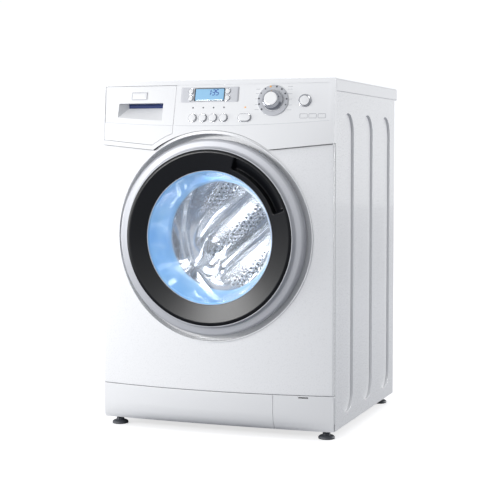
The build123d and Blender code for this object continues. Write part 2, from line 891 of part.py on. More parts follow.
with BuildPart() as drain_pump:
    disc(volute_radius, *volute_depths, pump_place)
    disc(pump_motor_radius, volute_depths[1], pump_motor_end, pump_place)
    slab(
        (filter_x - pump_foot_half, filter_x + pump_foot_half),
        (pump_foot_front, pump_motor_end),
        (tray_floor, filter_height - pump_motor_radius + pump_foot_bite),
    )
    disc(volute_bore, volute_depths[0], volute_end, pump_place, mode=Mode.SUBTRACT, bore=True)
drain_pump.part.label = "drain_pump"
export_step(drain_pump.part, "parts/drain_pump.step")

with BuildPart() as pump_filter:
    disc(volute_bore - filter_clearance, *filter_disc, pump_place)
    with BuildSketch(facing(filter_disc[0])):
        with Locations(pump_place):
            long_outline(filter_grip[0], filter_grip[1])
    extrude(amount=filter_grip[2])
    disc(filter_basket_radius, filter_disc[1], filter_basket_end, pump_place)
pump_filter.part.label = "pump_filter"
export_step(pump_filter.part, "parts/pump_filter.step")

with BuildPart() as pump_impeller:
    disc(impeller_hub, *impeller_depths, pump_place, pin_sides)
    with BuildSketch(facing(impeller_depths[0])):
        with Locations(pump_place):
            with PolarLocations(impeller_radius / 2, impeller_blades):
                Rectangle(impeller_radius, impeller_blade)
    extrude(amount=impeller_depths[0] - impeller_depths[1])
    disc(impeller_shaft, impeller_depths[1], volute_end - shaft_gap, pump_place, pin_sides)
pump_impeller.part.label = "pump_impeller"
export_step(pump_impeller.part, "parts/pump_impeller.step")

# Door hinge: its pin stands inside the door's rim, so that the rim clears the well
hinge_x = -226.0
hinge_depth = -32.0
hinge_pin = 4.0
hinge_fit = 0.05
knuckle_radius = 6.5
knuckle_half = 37.0
lug_gap = 0.5
lug_thickness = 8.0
lug_margin = 1.5
hinge_clear = knuckle_half + lug_gap + lug_thickness + 3.0
hinge_window = -214.0
neck_window = -184.0
bracket_span = (-216.0, -190.0)
bracket_half = 58.0
bracket_sheet = 3.0
leaf_sheet = 3.0
leaf_half = 35.5
leaf_end = -180.0

# Door: outer frame, inner frame with the finger recess, glass bowl and back ring
door_rear = -14.0
frame_wall = 2.5
frame_edge = -38.0
frame_cut = frame_edge - 1.0
frame_face = -42.0
frame_step = -44.5
frame_crest = -54.0
frame_bevel = 4.0
frame_lip = 2.0
frame_bead = 2.5
crown_radius = 203.0
glass_face = -46.5
glass_front = -43.5
glass_wall = 4.0
bowl_mouth = 156.0
bowl_end = 138.0
bowl_heel = 112.0
bowl_depths = (36.0, 56.0)
ring_bore = 164.0
ring_wall = 3.0
clamp_width = 6.0
flange_out = 168.0

with BuildPart() as door_frame:
    ring(
        [
            (door_rear, door_radius),
            (frame_edge, door_radius),
            (frame_face, door_radius - frame_bevel),
            (frame_step, frame_inner + frame_bead + frame_lip),
            (frame_crest, frame_inner + frame_lip),
            (frame_crest, frame_inner),
            (frame_face, frame_inner),
            (frame_cut, door_radius - frame_wall),
            (door_rear, door_radius - frame_wall),
        ]
    )
    slab(
        (-door_radius - 1, hinge_window),
        (frame_cut, 0),
        (door_height - hinge_clear, door_height + hinge_clear),
        Mode.SUBTRACT,
    )
door_frame.part.label = "door_frame"
export_step(door_frame.part, "parts/door_frame.step")

# Finger recess in the upper right of the inner frame
grip_start = 70.0
grip_arc = 50.0
grip_radii = (174.0, 201.0)
grip_depth = -36.0
grip_wall = 2.5
grip_slope = 7.0
grip_side = degrees(grip_wall / grip_radii[0])
inner_back = -42.0
inner_wall = 3.0

with BuildPart() as door_inner_frame:
    ring(
        [
            (frame_crest, frame_inner),
            (-door_reach, crown_radius),
            (glass_face, glass_radius),
            (glass_front, glass_radius),
            (glass_front, flange_out),
            (-door_reach + inner_wall, crown_radius),
            (inner_back, frame_inner - inner_wall),
            (inner_back, frame_inner),
        ]
    )
    turned(
        [
            (-door_reach + inner_wall, grip_radii[0] - grip_wall),
            (-door_reach + inner_wall, grip_radii[1] + grip_wall),
            (grip_depth + grip_wall, grip_radii[1] + grip_wall),
            (grip_depth + grip_wall, grip_radii[0] + grip_slope - grip_wall),
        ],
        grip_start + grip_side,
        grip_arc + 2 * grip_side,
    )
    turned(
        [
            (-door_reach - 1, grip_radii[0]),
            (-door_reach - 1, grip_radii[1]),
            (grip_depth, grip_radii[1]),
            (grip_depth, grip_radii[0] + grip_slope),
        ],
        grip_start,
        grip_arc,
        Mode.SUBTRACT,
    )
door_inner_frame.part.label = "door_inner_frame"
export_step(door_inner_frame.part, "parts/door_inner_frame.step")

with BuildPart() as door_glass:
    ring(
        [
            (glass_front, flange_out),
            (glass_front, bowl_mouth),
            (bowl_depths[0], bowl_end),
            (bowl_depths[1], bowl_heel),
            (bowl_depths[1] + glass_wall, bowl_heel),
            (bowl_depths[1] + glass_wall, bowl_heel + glass_wall / 2),
            (bowl_depths[0] + glass_wall / 2, bowl_end + glass_wall),
            (glass_front + glass_wall, bowl_mouth + glass_wall),
            (glass_front + glass_wall, flange_out),
        ]
    )
    disc(bowl_heel, bowl_depths[1], bowl_depths[1] + glass_wall, drum_place, ring_sides)
door_glass.part.label = "door_glass"
export_step(door_glass.part, "parts/door_glass.step")

# Latch: sprung hook that turns between two ears of the back ring
latch_x = 205.0
latch_depth = -22.0
latch_half = 8.0
latch_pin = 2.5
latch_slot = (198.0, 212.0)
latch_shank = (201.0, 209.0)
latch_nose = 213.0
latch_reach = 6.0
latch_boss = 5.0
latch_chamfer = 2.0
latch_catch = 4.0
ear_span = (196.0, 214.0)
ear_half = 9.5
ear_thickness = 3.0
ear_top = -32.0
ring_front = door_rear - ring_wall

with BuildPart() as door_back_ring:
    ring(
        [
            (ring_front, door_radius - frame_wall),
            (door_rear, door_radius - frame_wall),
            (door_rear, ring_bore),
            (glass_front + glass_wall, ring_bore),
            (glass_front + glass_wall, ring_bore + clamp_width),
            (ring_front, ring_bore + clamp_width),
        ]
    )
    slab(
        (-door_radius - 1, hinge_window),
        (ring_front, door_rear),
        (door_height - hinge_clear, door_height + hinge_clear),
        Mode.SUBTRACT,
    )
    for side in (-1, 1):
        slab(
            (hinge_window, neck_window),
            (ring_front, door_rear),
            sorted(
                (
                    door_height + side * (knuckle_half - lug_gap),
                    door_height + side * (knuckle_half + lug_gap + lug_thickness + lug_margin),
                )
            ),
            Mode.SUBTRACT,
        )
        slab(
            ear_span,
            (ear_top, ring_front),
            sorted((door_height + side * ear_half, door_height + side * (ear_half + ear_thickness))),
        )
    slab(
        latch_slot,
        (ring_front, door_rear),
        (door_height - ear_half, door_height + ear_half),
        Mode.SUBTRACT,
    )
    with BuildSketch(Plane.XY.offset(door_height - ear_half - ear_thickness)):
        with Locations((latch_x, deep(latch_depth))):
            round_outline(latch_pin + hinge_fit, pin_sides, bore=True)
    extrude(amount=2 * (ear_half + ear_thickness), mode=Mode.SUBTRACT)
door_back_ring.part.label = "door_back_ring"
export_step(door_back_ring.part, "parts/door_back_ring.step")

with BuildPart() as latch_hook:
    with BuildSketch(Plane.XY.offset(door_height - latch_half)):
        with Locations((latch_x, deep(latch_depth))):
            round_outline(latch_boss, pin_sides)
        with BuildLine():
            Polyline(
                (latch_shank[0], deep(latch_depth)),
                (latch_shank[0], deep(latch_reach - latch_chamfer)),
                (latch_shank[0] + latch_chamfer, deep(latch_reach)),
                (latch_shank[1], deep(latch_reach)),
                (latch_nose, deep(latch_reach - latch_catch)),
                (latch_nose, deep(latch_reach - latch_catch - latch_chamfer)),
                (latch_shank[1], deep(latch_reach - latch_catch - latch_chamfer)),
                (latch_shank[1], deep(latch_depth)),
                close=True,
            )
        make_face()
    extrude(amount=2 * latch_half)
    with BuildSketch(Plane.XY.offset(door_height - ear_half - ear_thickness)):
        with Locations((latch_x, deep(latch_depth))):
            round_outline(latch_pin, pin_sides)
    extrude(amount=2 * (ear_half + ear_thickness))
latch_hook.part.label = "latch_hook"
export_step(latch_hook.part, "parts/latch_hook.step")

# Door lock behind the dished floor, with a roomy pocket for the hook
lock_span = (188.0, 236.0)
lock_half = 34.0
lock_back = 20.0
lock_wall = 5.0

with BuildPart() as door_lock:
    slab(
        lock_span,
        (dish_depth + sheet, lock_back),
        (door_height - lock_half, door_height + lock_half),
    )
    slab(
        (lock_slot[0] - 2, lock_slot[1] + 2),
        (dish_depth + sheet, lock_back - lock_wall),
        (door_height - lock_slot_half - 2, door_height + lock_slot_half + 2),
        Mode.SUBTRACT,
    )
door_lock.part.label = "door_lock"
export_step(door_lock.part, "parts/door_lock.step")

# Hinge: fixed bracket with two bowed lugs and their pins, and the arm on the door
lug_foot = hinge_depth + knuckle_radius / sqrt(2)
bracket_front = dish_depth - bracket_sheet
lug_lean = bracket_front - lug_foot

with BuildPart() as hinge_bracket:
    slab(
        bracket_span,
        (bracket_front, dish_depth),
        (door_height - bracket_half, door_height + bracket_half),
    )
    for low in (door_height + knuckle_half + lug_gap, door_height - knuckle_half - lug_gap - lug_thickness):
        edge = knuckle_radius / sqrt(2)
        with BuildSketch(Plane.XY.offset(low)):
            with Locations((hinge_x, deep(hinge_depth))):
                round_outline(knuckle_radius, pin_sides)
            with BuildLine():
                Polyline(
                    (hinge_x - edge, deep(hinge_depth + edge)),
                    (hinge_x + edge, deep(hinge_depth - edge)),
                    (hinge_x + 3 * edge + lug_lean, deep(bracket_front)),
                    (hinge_x - edge + lug_lean, deep(bracket_front)),
                    close=True,
                )
            make_face()
        extrude(amount=lug_thickness)
    with BuildSketch(Plane.XY.offset(door_height - knuckle_half - lug_gap)):
        with Locations((hinge_x, deep(hinge_depth))):
            round_outline(hinge_pin, pin_sides)
    extrude(amount=2 * (knuckle_half + lug_gap))
hinge_bracket.part.label = "hinge_bracket"
export_step(hinge_bracket.part, "parts/hinge_bracket.step")

with BuildPart() as hinge_arm:
    with BuildSketch(Plane.XY.offset(door_height - knuckle_half)):
        with Locations((hinge_x, deep(hinge_depth))):
            round_outline(knuckle_radius, pin_sides)
    extrude(amount=2 * knuckle_half)
    slab(
        (hinge_x, hinge_x + knuckle_radius),
        (hinge_depth, ring_front),
        (door_height - leaf_half, door_height + leaf_half),
    )
    slab(
        (hinge_x, leaf_end),
        (ring_front - leaf_sheet, ring_front),
        (door_height - leaf_half, door_height + leaf_half),
    )
    with BuildSketch(Plane.XY.offset(door_height - knuckle_half)):
        with Locations((hinge_x, deep(hinge_depth))):
            round_outline(hinge_pin + hinge_fit, pin_sides, bore=True)
    extrude(amount=2 * knuckle_half, mode=Mode.SUBTRACT)
hinge_arm.part.label = "hinge_arm"
export_step(hinge_arm.part, "parts/hinge_arm.step")

# Rubber door gasket between the dished floor and the tub
gasket_out = 174.0
gasket_lip = 153.0
gasket_fold = (10.0, 14.0)
gasket_wall = 4.0
tub_mouth = 172.0
tub_front_depth = 62.0

with BuildPart() as door_gasket:
    ring(
        [
            (dish_depth + sheet, gasket_out),
            (dish_depth + sheet, gasket_out - 2 * gasket_wall),
            (gasket_fold[0], gasket_lip),
            (gasket_fold[1], gasket_lip),
            (tub_front_depth, tub_mouth),
            (tub_front_depth, tub_mouth + gasket_wall),
            (gasket_fold[0] + gasket_wall / 2, gasket_lip + gasket_wall + 1),
        ]
    )
door_gasket.part.label = "door_gasket"
export_step(door_gasket.part, "parts/door_gasket.step")

# Tub in two halves, with lugs for the dampers and the springs
tub_radius = 262.0
tub_wall = 4.0
tub_seam = 215.0
tub_back = 395.0
tub_hub = 42.0
bearing_out = 31.0
hub_depths = (384.0, 430.0)
rod_top = 238.0
spring_x = half_width - 35.5
spring_depth = rail_depth - rail_sheet
spring_low = 600.0
spring_lug = (spring_x - 34.0, spring_x + 13.0)
spring_lug_half = 12.0
lug_angle = 40.0
tub_inside = tub_radius - tub_wall

with BuildPart() as tub_front:
    disc(tub_radius, tub_front_depth, tub_seam, drum_place, ring_sides)
    for side in (-1, 1):
        slab(
            (side * damper_x - damper_radius, side * damper_x + damper_radius),
            (damper_depth - damper_radius, damper_depth + damper_radius),
            (rod_top, door_height - tub_radius * cos(radians(lug_angle))),
        )
    disc(tub_inside, tub_front_depth + tub_wall, tub_seam, drum_place, ring_sides, Mode.SUBTRACT)
    disc(tub_mouth, tub_front_depth, tub_seam, drum_place, ring_sides, Mode.SUBTRACT)
tub_front.part.label = "tub_front"
export_step(tub_front.part, "parts/tub_front.step")

with BuildPart() as tub_rear:
    ring(
        [
            (tub_seam, tub_inside),
            (tub_seam, tub_radius),
            (tub_back, tub_radius),
            (tub_back, tub_hub),
            (hub_depths[1], tub_hub),
            (hub_depths[1], bearing_out),
            (hub_depths[0], bearing_out),
            (hub_depths[0], tub_hub),
            (tub_back - tub_wall, tub_hub),
            (tub_back - tub_wall, tub_inside),
        ]
    )
    for side in (-1, 1):
        slab(
            sorted((side * spring_lug[0], side * spring_lug[1])),
            (spring_depth - spring_lug_half, spring_depth + spring_lug_half),
            (spring_low - tub_wall, spring_low),
        )
tub_rear.part.label = "tub_rear"
export_step(tub_rear.part, "parts/tub_rear.step")

# Drum: perforated shell, three lifters, spider with its shaft, bearings and pulley
drum_radius = 240.0
drum_mouth = 178.0
drum_depths = (74.0, 372.0)
drum_inside = drum_radius - sheet
shaft_radius = 15.0
shaft_fit = 0.05
bearing_depths = ((386.0, 400.0), (414.0, 428.0))
lifter_count = 3
lifter_base = 36.0
lifter_tip = 11.0
lifter_height = 54.0
lifter_wall = 1.5
lifter_depths = (90.0, 355.0)
spider_hub = 30.0
spider_reach = 232.0
spider_thickness = 7.0
spider_arm = 17.0
spider_turn = 30.0
shaft_end = 458.0
pulley_depths = (438.0, 458.0)
pulley_radius = 140.0
pulley_rim = 7.0
pulley_hub = 26.0
pulley_spokes = 5
spoke_width = 18.0
spoke_depths = (444.0, 452.0)

with BuildPart() as drum_bearings:
    for near, far in bearing_depths:
        disc(bearing_out, near, far, drum_place, ring_sides)
        disc(shaft_radius + shaft_fit, near, far, drum_place, mode=Mode.SUBTRACT, bore=True)
drum_bearings.part.label = "drum_bearings"
export_step(drum_bearings.part, "parts/drum_bearings.step")

with BuildPart() as drum_shell:
    disc(drum_radius, *drum_depths, drum_place, ring_sides)
    disc(drum_inside, drum_depths[0] + sheet, drum_depths[1] - sheet, drum_place, ring_sides, Mode.SUBTRACT)
    disc(drum_mouth, drum_depths[0], drum_depths[0] + sheet, drum_place, ring_sides, Mode.SUBTRACT)
drum_shell.part.label = "drum_shell"
export_step(drum_shell.part, "parts/drum_shell.step")

with BuildPart() as drum_lifters:
    for wall, mode in ((0, Mode.ADD), (lifter_wall, Mode.SUBTRACT)):
        with BuildSketch(facing(lifter_depths[0] + wall)):
            with Locations(drum_place):
                with PolarLocations(0, lifter_count, start_angle=90):
                    Polygon(
                        (drum_radius, wall - lifter_base),
                        (drum_radius, lifter_base - wall),
                        (drum_inside - lifter_height + wall, lifter_tip),
                        (drum_inside - lifter_height + wall, -lifter_tip),
                        align=None,
                    )
                round_outline(drum_inside, ring_sides, mode=Mode.INTERSECT)
        extrude(amount=lifter_depths[0] - lifter_depths[1] + 2 * wall, mode=mode)
drum_lifters.part.label = "drum_lifters"
export_step(drum_lifters.part, "parts/drum_lifters.step")

with BuildPart() as drum_spider:
    with BuildSketch(facing(drum_depths[1])):
        with Locations(drum_place):
            round_outline(spider_hub)
            with PolarLocations(0, lifter_count, start_angle=spider_turn):
                Polygon(
                    (0, -spider_hub),
                    (0, spider_hub),
                    (spider_reach, spider_arm),
                    (spider_reach, -spider_arm),
                    align=None,
                )
    extrude(amount=-spider_thickness)
    disc(shaft_radius, drum_depths[1] + spider_thickness, shaft_end, drum_place)
drum_spider.part.label = "drum_spider"
export_step(drum_spider.part, "parts/drum_spider.step")

with BuildPart() as drum_pulley:
    with BuildSketch(facing(spoke_depths[0])):
        with Locations(drum_place):
            with PolarLocations(pulley_radius / 2, pulley_spokes):
                Rectangle(pulley_radius - pulley_rim, spoke_width)
    extrude(amount=spoke_depths[0] - spoke_depths[1])
    disc(pulley_hub, *pulley_depths, drum_place)
    with BuildSketch(facing(pulley_depths[0])):
        with Locations(drum_place):
            round_outline(pulley_radius, ring_sides)
            round_outline(pulley_radius - pulley_rim, ring_sides, mode=Mode.SUBTRACT)
    extrude(amount=pulley_depths[0] - pulley_depths[1])
    disc(shaft_radius, *pulley_depths, drum_place, mode=Mode.SUBTRACT)
drum_pulley.part.label = "drum_pulley"
export_step(drum_pulley.part, "parts/drum_pulley.step")

# Motor under the tub, its pulley and the belt that wraps both pulleys
motor_height = 150.0
motor_radius = 60.0
motor_depths = (280.0, 425.0)
motor_lugs = ((292.0, 304.0), (392.0, 404.0))
motor_lug_half = 40.0
motor_lug_reach = 80.0
motor_place = (0, motor_height)
motor_pulley_radius = 14.0
motor_shaft = 6.0
belt_gap = 0.3
belt_thickness = 2.5
belt_depths = (441.0, 455.0)

with BuildPart() as drive_motor:
    disc(motor_radius, *motor_depths, motor_place)
    for near, far in motor_lugs:
        slab(
            (-motor_lug_half, motor_lug_half),
            (near, min(far, tub_back)),
            (motor_height, motor_height + motor_lug_reach),
        )
    disc(tub_radius, tub_front_depth, motor_depths[1], drum_place, ring_sides, Mode.SUBTRACT)
drive_motor.part.label = "drive_motor"
export_step(drive_motor.part, "parts/drive_motor.step")

with BuildPart() as motor_pulley:
    disc(motor_pulley_radius, *pulley_depths, motor_place)
    disc(motor_shaft, motor_depths[1] + shaft_gap, pulley_depths[0], motor_place, pin_sides)
motor_pulley.part.label = "motor_pulley"
export_step(motor_pulley.part, "parts/motor_pulley.step")


def belt_loop(grow):
    """Outline that wraps both pulleys at a distance."""
    with BuildSketch(facing(belt_depths[0])) as loop:
        with Locations(drum_place):
            round_outline(pulley_radius + grow, ring_sides, bore=True)
        with Locations(motor_place):
            round_outline(motor_pulley_radius + grow, bore=True)
        make_hull()
    return loop.sketch


with BuildPart() as drive_belt:
    belt_width = belt_depths[1] - belt_depths[0]
    extrude(belt_loop(belt_gap + belt_thickness), amount=-belt_width)
    extrude(belt_loop(belt_gap), amount=-belt_width, mode=Mode.SUBTRACT)
drive_belt.part.label = "drive_belt"
export_step(drive_belt.part, "parts/drive_belt.step")

# Wash heater: bent rod in the gap between drum and tub
heater_radius = 4.0
heater_height = 226.0
heater_half = 30.0
heater_front = 230.0
heater_bend = 14.0
heater_sides = 8

with BuildPart() as wash_heater:
    heater_back = tub_back - tub_wall
    with BuildLine(Plane.XY.offset(heater_height)) as heater_path:
        Polyline(
            (-heater_half, deep(heater_back)),
            (-heater_half, deep(heater_front + heater_bend)),
            (heater_bend - heater_half, deep(heater_front)),
            (heater_half - heater_bend, deep(heater_front)),
            (heater_half, deep(heater_front + heater_bend)),
            (heater_half, deep(heater_back)),
        )
    with BuildSketch(facing(heater_back)):
        with Locations((-heater_half, heater_height)):
            RegularPolygon(heater_radius, heater_sides)
    sweep(path=heater_path.line, transition=Transition.RIGHT)
wash_heater.part.label = "wash_heater"
export_step(wash_heater.part, "parts/wash_heater.step")

# Counterweight on the tub's front
weight_radii = (186.0, 255.0)
weight_front = 30.0
weight_arc = 140.0

with BuildPart() as counterweight:
    turned(
        [
            (weight_front, weight_radii[0]),
            (weight_front, weight_radii[1]),
            (tub_front_depth, weight_radii[1]),
            (tub_front_depth, weight_radii[0]),
        ],
        weight_arc / 2 - 90,
        weight_arc,
    )
counterweight.part.label = "counterweight"
export_step(counterweight.part, "parts/counterweight.step")

# Dryer duct over the tub, with the fan housing at its back end
duct_span = (100.0, 190.0)
duct_depths = (80.0, 345.0)
duct_top = 780.0
duct_low = 650.0
duct_wall = 3.0
fan_place = (145.0, 400.0)
fan_housing_radius = 62.0
fan_housing_low = 726.0
fan_cavity_radius = 57.0
fan_cavity = (732.0, 774.0)
fan_radius = 52.0
fan_heights = (736.0, 770.0)
fan_disc = 2.0
fan_hub = 12.0
fan_blades = 12
blade_length = 22.0
blade_thickness = 1.6

with BuildPart() as duct_air:
    slab(
        (duct_span[0] + duct_wall, duct_span[1] - duct_wall),
        (duct_depths[0] + duct_wall, fan_place[1] - fan_cavity_radius / 2),
        (duct_low, fan_cavity[1]),
    )
    disc(tub_radius + duct_wall, tub_front_depth, tub_back, drum_place, ring_sides, Mode.SUBTRACT)

with BuildPart() as dryer_duct:
    slab(duct_span, duct_depths, (duct_low, duct_top))
    with BuildSketch(Plane.XY.offset(fan_housing_low)):
        with Locations((fan_place[0], deep(fan_place[1]))):
            round_outline(fan_housing_radius)
    extrude(amount=duct_top - fan_housing_low)
    disc(tub_radius, tub_front_depth, tub_back, drum_place, ring_sides, Mode.SUBTRACT)
    with BuildSketch(Plane.XY.offset(fan_cavity[0])):
        with Locations((fan_place[0], deep(fan_place[1]))):
            round_outline(fan_cavity_radius, bore=True)
    extrude(amount=fan_cavity[1] - fan_cavity[0], mode=Mode.SUBTRACT)
    add(duct_air.part, mode=Mode.SUBTRACT)
dryer_duct.part.label = "dryer_duct"
export_step(dryer_duct.part, "parts/dryer_duct.step")

with BuildPart() as fan_impeller:
    with BuildSketch(Plane.XY.offset(fan_heights[0])):
        with Locations((fan_place[0], deep(fan_place[1]))):
            round_outline(fan_radius)
    extrude(amount=fan_disc)
    with BuildSketch(Plane.XY.offset(fan_heights[0])):
        with Locations((fan_place[0], deep(fan_place[1]))):
            round_outline(fan_hub, pin_sides)
            with PolarLocations(fan_radius - blade_length / 2, fan_blades):
                Rectangle(blade_length, blade_thickness)
    extrude(amount=fan_heights[1] - fan_heights[0])
fan_impeller.part.label = "fan_impeller"
export_step(fan_impeller.part, "parts/fan_impeller.step")

# Suspension: two springs at the top and two dampers at the foot
spring_radius = 10.0
spring_bore = 7.5
spring_places = [(side * spring_x, deep(spring_depth)) for side in (-1, 1)]
damper_places = [(side * damper_x, deep(damper_depth)) for side in (-1, 1)]
damper_top = 140.0
damper_bore = 5.08
damper_bore_floor = 45.0
rod_radius = 5.0
rod_low = 60.0

with BuildPart() as suspension_springs:
    with BuildSketch(Plane.XY.offset(spring_low)):
        with Locations(*spring_places):
            round_outline(spring_radius, pin_sides)
            round_outline(spring_bore, pin_sides, mode=Mode.SUBTRACT)
    extrude(amount=rail_top - rail_sheet - spring_low)
suspension_springs.part.label = "suspension_springs"
export_step(suspension_springs.part, "parts/suspension_springs.step")

with BuildPart() as damper_cylinders:
    with BuildSketch(Plane.XY.offset(tray_floor + damper_foot)):
        with Locations(*damper_places):
            round_outline(damper_radius)
    extrude(amount=damper_top - tray_floor - damper_foot)
    with BuildSketch(Plane.XY.offset(damper_bore_floor)):
        with Locations(*damper_places):
            round_outline(damper_bore, pin_sides, bore=True)
    extrude(amount=damper_top - damper_bore_floor, mode=Mode.SUBTRACT)
damper_cylinders.part.label = "damper_cylinders"
export_step(damper_cylinders.part, "parts/damper_cylinders.step")

with BuildPart() as damper_rods:
    with BuildSketch(Plane.XY.offset(rod_low)):
        with Locations(*damper_places):
            round_outline(rod_radius, pin_sides)
    extrude(amount=rod_top - rod_low)
damper_rods.part.label = "damper_rods"
export_step(damper_rods.part, "parts/damper_rods.step")
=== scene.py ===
import json

import bmesh
import bpy
import numpy as np
from numpy import cos, pi, radians, sin
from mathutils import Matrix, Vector


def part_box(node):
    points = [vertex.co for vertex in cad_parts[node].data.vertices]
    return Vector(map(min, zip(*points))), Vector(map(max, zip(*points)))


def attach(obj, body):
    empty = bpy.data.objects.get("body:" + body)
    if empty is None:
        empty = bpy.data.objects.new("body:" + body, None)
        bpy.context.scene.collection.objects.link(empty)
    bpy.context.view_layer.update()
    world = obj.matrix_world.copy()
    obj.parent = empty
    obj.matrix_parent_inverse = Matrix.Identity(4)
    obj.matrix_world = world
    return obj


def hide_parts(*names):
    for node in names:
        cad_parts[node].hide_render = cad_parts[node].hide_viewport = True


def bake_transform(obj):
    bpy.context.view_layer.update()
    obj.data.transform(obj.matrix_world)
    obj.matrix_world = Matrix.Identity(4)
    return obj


# %% [markdown]
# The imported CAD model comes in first: a front-loading washer dryer with a bowed front, a round door, a
# leaning control panel, and a drum, tub and motor inside. Everything made below is placed from its measures.
# Typed sizes would also work, but they would drift apart as soon as the CAD changed.

# %% Load the frame and read its measures
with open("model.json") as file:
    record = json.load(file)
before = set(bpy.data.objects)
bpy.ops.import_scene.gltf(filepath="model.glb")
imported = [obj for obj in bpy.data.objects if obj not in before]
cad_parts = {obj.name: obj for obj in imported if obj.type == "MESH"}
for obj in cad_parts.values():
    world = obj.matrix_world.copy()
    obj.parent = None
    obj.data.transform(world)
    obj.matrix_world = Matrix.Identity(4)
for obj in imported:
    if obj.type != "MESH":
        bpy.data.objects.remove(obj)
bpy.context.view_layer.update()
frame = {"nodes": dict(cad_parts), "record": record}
nodes = frame["nodes"]


def span(node, axis):
    """Lowest and highest millimetre of a node along x, y or z."""
    low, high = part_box(node)
    return getattr(low, axis) * 1000, getattr(high, axis) * 1000


half_width = span("cabinet_shell", "x")[1]
shell_setback = 8.0
front = span("cabinet_shell", "y")[0] - shell_setback
door_bottom, door_top = span("door_frame", "z")
door_z = (door_bottom + door_top) / 2
door_radius = (door_top - door_bottom) / 2
plinth_top = span("plinth", "z")[1]
top_z = span("worktop", "z")[1]
print("front plane", front, "door", door_z, door_radius, "top", top_z)

# %% [markdown]
# The photograph was taken with a long lens from the right, a little above the door's middle, and the camera
# was fitted to points read off it. Three degrees of dip and a small downward shift frame the machine. Turning
# alone would fit almost as well, but would lean the upright edges together a little more.

# %% Camera
camera_place = (1178.2, front - 2956.9, 670.1)
camera_turn = 20.247
camera_dip = 2.997

camera_data = bpy.data.cameras.new("photo_camera")
camera_data.lens = 95.55
camera_data.shift_y = -0.05
camera = bpy.data.objects.new("photo_camera", camera_data)
camera.location = Vector(camera_place) / 1000
camera.rotation_euler = (radians(90 - camera_dip), 0, radians(camera_turn))
bpy.context.scene.collection.objects.link(camera)
bpy.context.scene.camera = camera
print("camera at", tuple(round(v, 3) for v in camera.location))

# %% [markdown]
# Every new piece is a surface over a grid of points. The grid is one numpy array, and one helper turns it
# into quads, closes it up round one or both ways, leaves quads out for a hole, and turns the faces the right
# way. Points are x, depth behind the front plane and height in millimetres, as the machine was measured.

# %% Points and pieces over grids
def place(x, depth, z):
    """Points from x, depth behind the front plane and height, in millimetres, to metres in the row frame."""
    x, depth, z = np.broadcast_arrays(x, depth, z)
    return np.stack([x, front + depth, z], axis=-1) * 0.001


def tidy_piece(name, mesh, look=None):
    """Object with doubled points merged, loose ones dropped and all faces smooth; prints its faces.

    A closed form gets its faces turned outwards. An open one is turned to look along a direction.
    """
    work = bmesh.new()
    work.from_mesh(mesh)
    bmesh.ops.remove_doubles(work, verts=work.verts, dist=2e-6)
    bmesh.ops.dissolve_degenerate(work, edges=work.edges, dist=1e-7)
    loose = [corner for corner in work.verts if not corner.link_faces]
    bmesh.ops.delete(work, geom=loose, context="VERTS")
    if look is None:
        bmesh.ops.recalc_face_normals(work, faces=work.faces)
    else:
        facing = sum((f.normal * f.calc_area() for f in work.faces), Vector())
        if facing.dot(Vector(look)) < 0:
            bmesh.ops.reverse_faces(work, faces=work.faces)
    work.to_mesh(mesh)
    work.free()
    mesh.polygons.foreach_set("use_smooth", np.full(len(mesh.polygons), True))
    piece = bpy.data.objects.new(name, mesh)
    bpy.context.scene.collection.objects.link(piece)
    print(name, len(mesh.polygons), "faces")
    return piece


def sheet_piece(name, points, joined=1, keep=None, look=None):
    """Piece over a grid of rows x columns x 3, or over many like grids; keep says which quads stay.

    joined is 0 for an open sheet, 1 where the columns close up round it, 2 where the rows do so too.
    """
    index = np.arange(points.size // 3).reshape(-1, *points.shape[-3:-1])
    for axis in (2, 1)[:joined]:
        index = np.concatenate([index, index.take([0], axis)], axis)
    corners = [index[:, :-1, :-1], index[:, 1:, :-1], index[:, 1:, 1:], index[:, :-1, 1:]]
    quads = np.stack(corners, axis=-1)
    quads = quads if keep is None else quads[:, keep]
    mesh = bpy.data.meshes.new(name)
    mesh.from_pydata(points.reshape(-1, 3).tolist(), [], quads.reshape(-1, 4).tolist())
    return tidy_piece(name, mesh, look)


def thicken(piece, thickness):
    """Give an open sheet its thickness in metres, behind the side that it looks to."""
    wall = piece.modifiers.new("wall", "SOLIDIFY")
    wall.thickness = thickness
    wall.offset = -1


print("a first point of the front plane", place(0, 0, 0))

# %% [markdown]
# Most pieces are an outline with rounded corners, or such an outline turned about the drum's axis. A bevel
# could round the corners later, but a curve worked out at once can differ from corner to corner and never
# overlaps its neighbour.

# %% Rounded outlines and turned profiles
def rounded(corners, setbacks, steps=7, closed=True):
    """Outline whose corners are replaced by short curves.

    A curve leaves one side a setback before the corner P, at A, and joins the next side a setback after it,
    at B: (1-s)^2 A + 2 s (1-s) P + s^2 B. One more point on each side keeps the shading of the flats even.
    """
    p = np.asarray(corners, float)
    ahead = np.roll(p, -1, axis=0) - p
    behind = np.roll(p, 1, axis=0) - p
    far = np.linalg.norm(ahead, axis=1, keepdims=True)
    near = np.linalg.norm(behind, axis=1, keepdims=True)
    shortest = np.minimum(far, near)
    cut = np.minimum(np.broadcast_to(setbacks, len(p))[:, None], 0.4 * shortest)
    if not closed:
        cut = cut * np.r_[0, np.ones(len(p) - 2), 0][:, None]
    reach = np.minimum(1.8 * cut, 0.48 * shortest)
    a, b = p + behind / near * cut, p + ahead / far * cut
    s = np.linspace(0, 1, steps)[None, :, None]
    curve = (1 - s) ** 2 * a[:, None] + 2 * s * (1 - s) * p[:, None] + s**2 * b[:, None]
    start = (p + behind / near * reach)[:, None]
    end = (p + ahead / far * reach)[:, None]
    return np.concatenate([start, curve, end], axis=1).reshape(-1, p.shape[1])


def about_axis(radius, depth, angles):
    """Points round the drum's axis: x = r cos a, z = height of the axis + r sin a."""
    return place(radius * cos(angles), depth, door_z + radius * sin(angles))


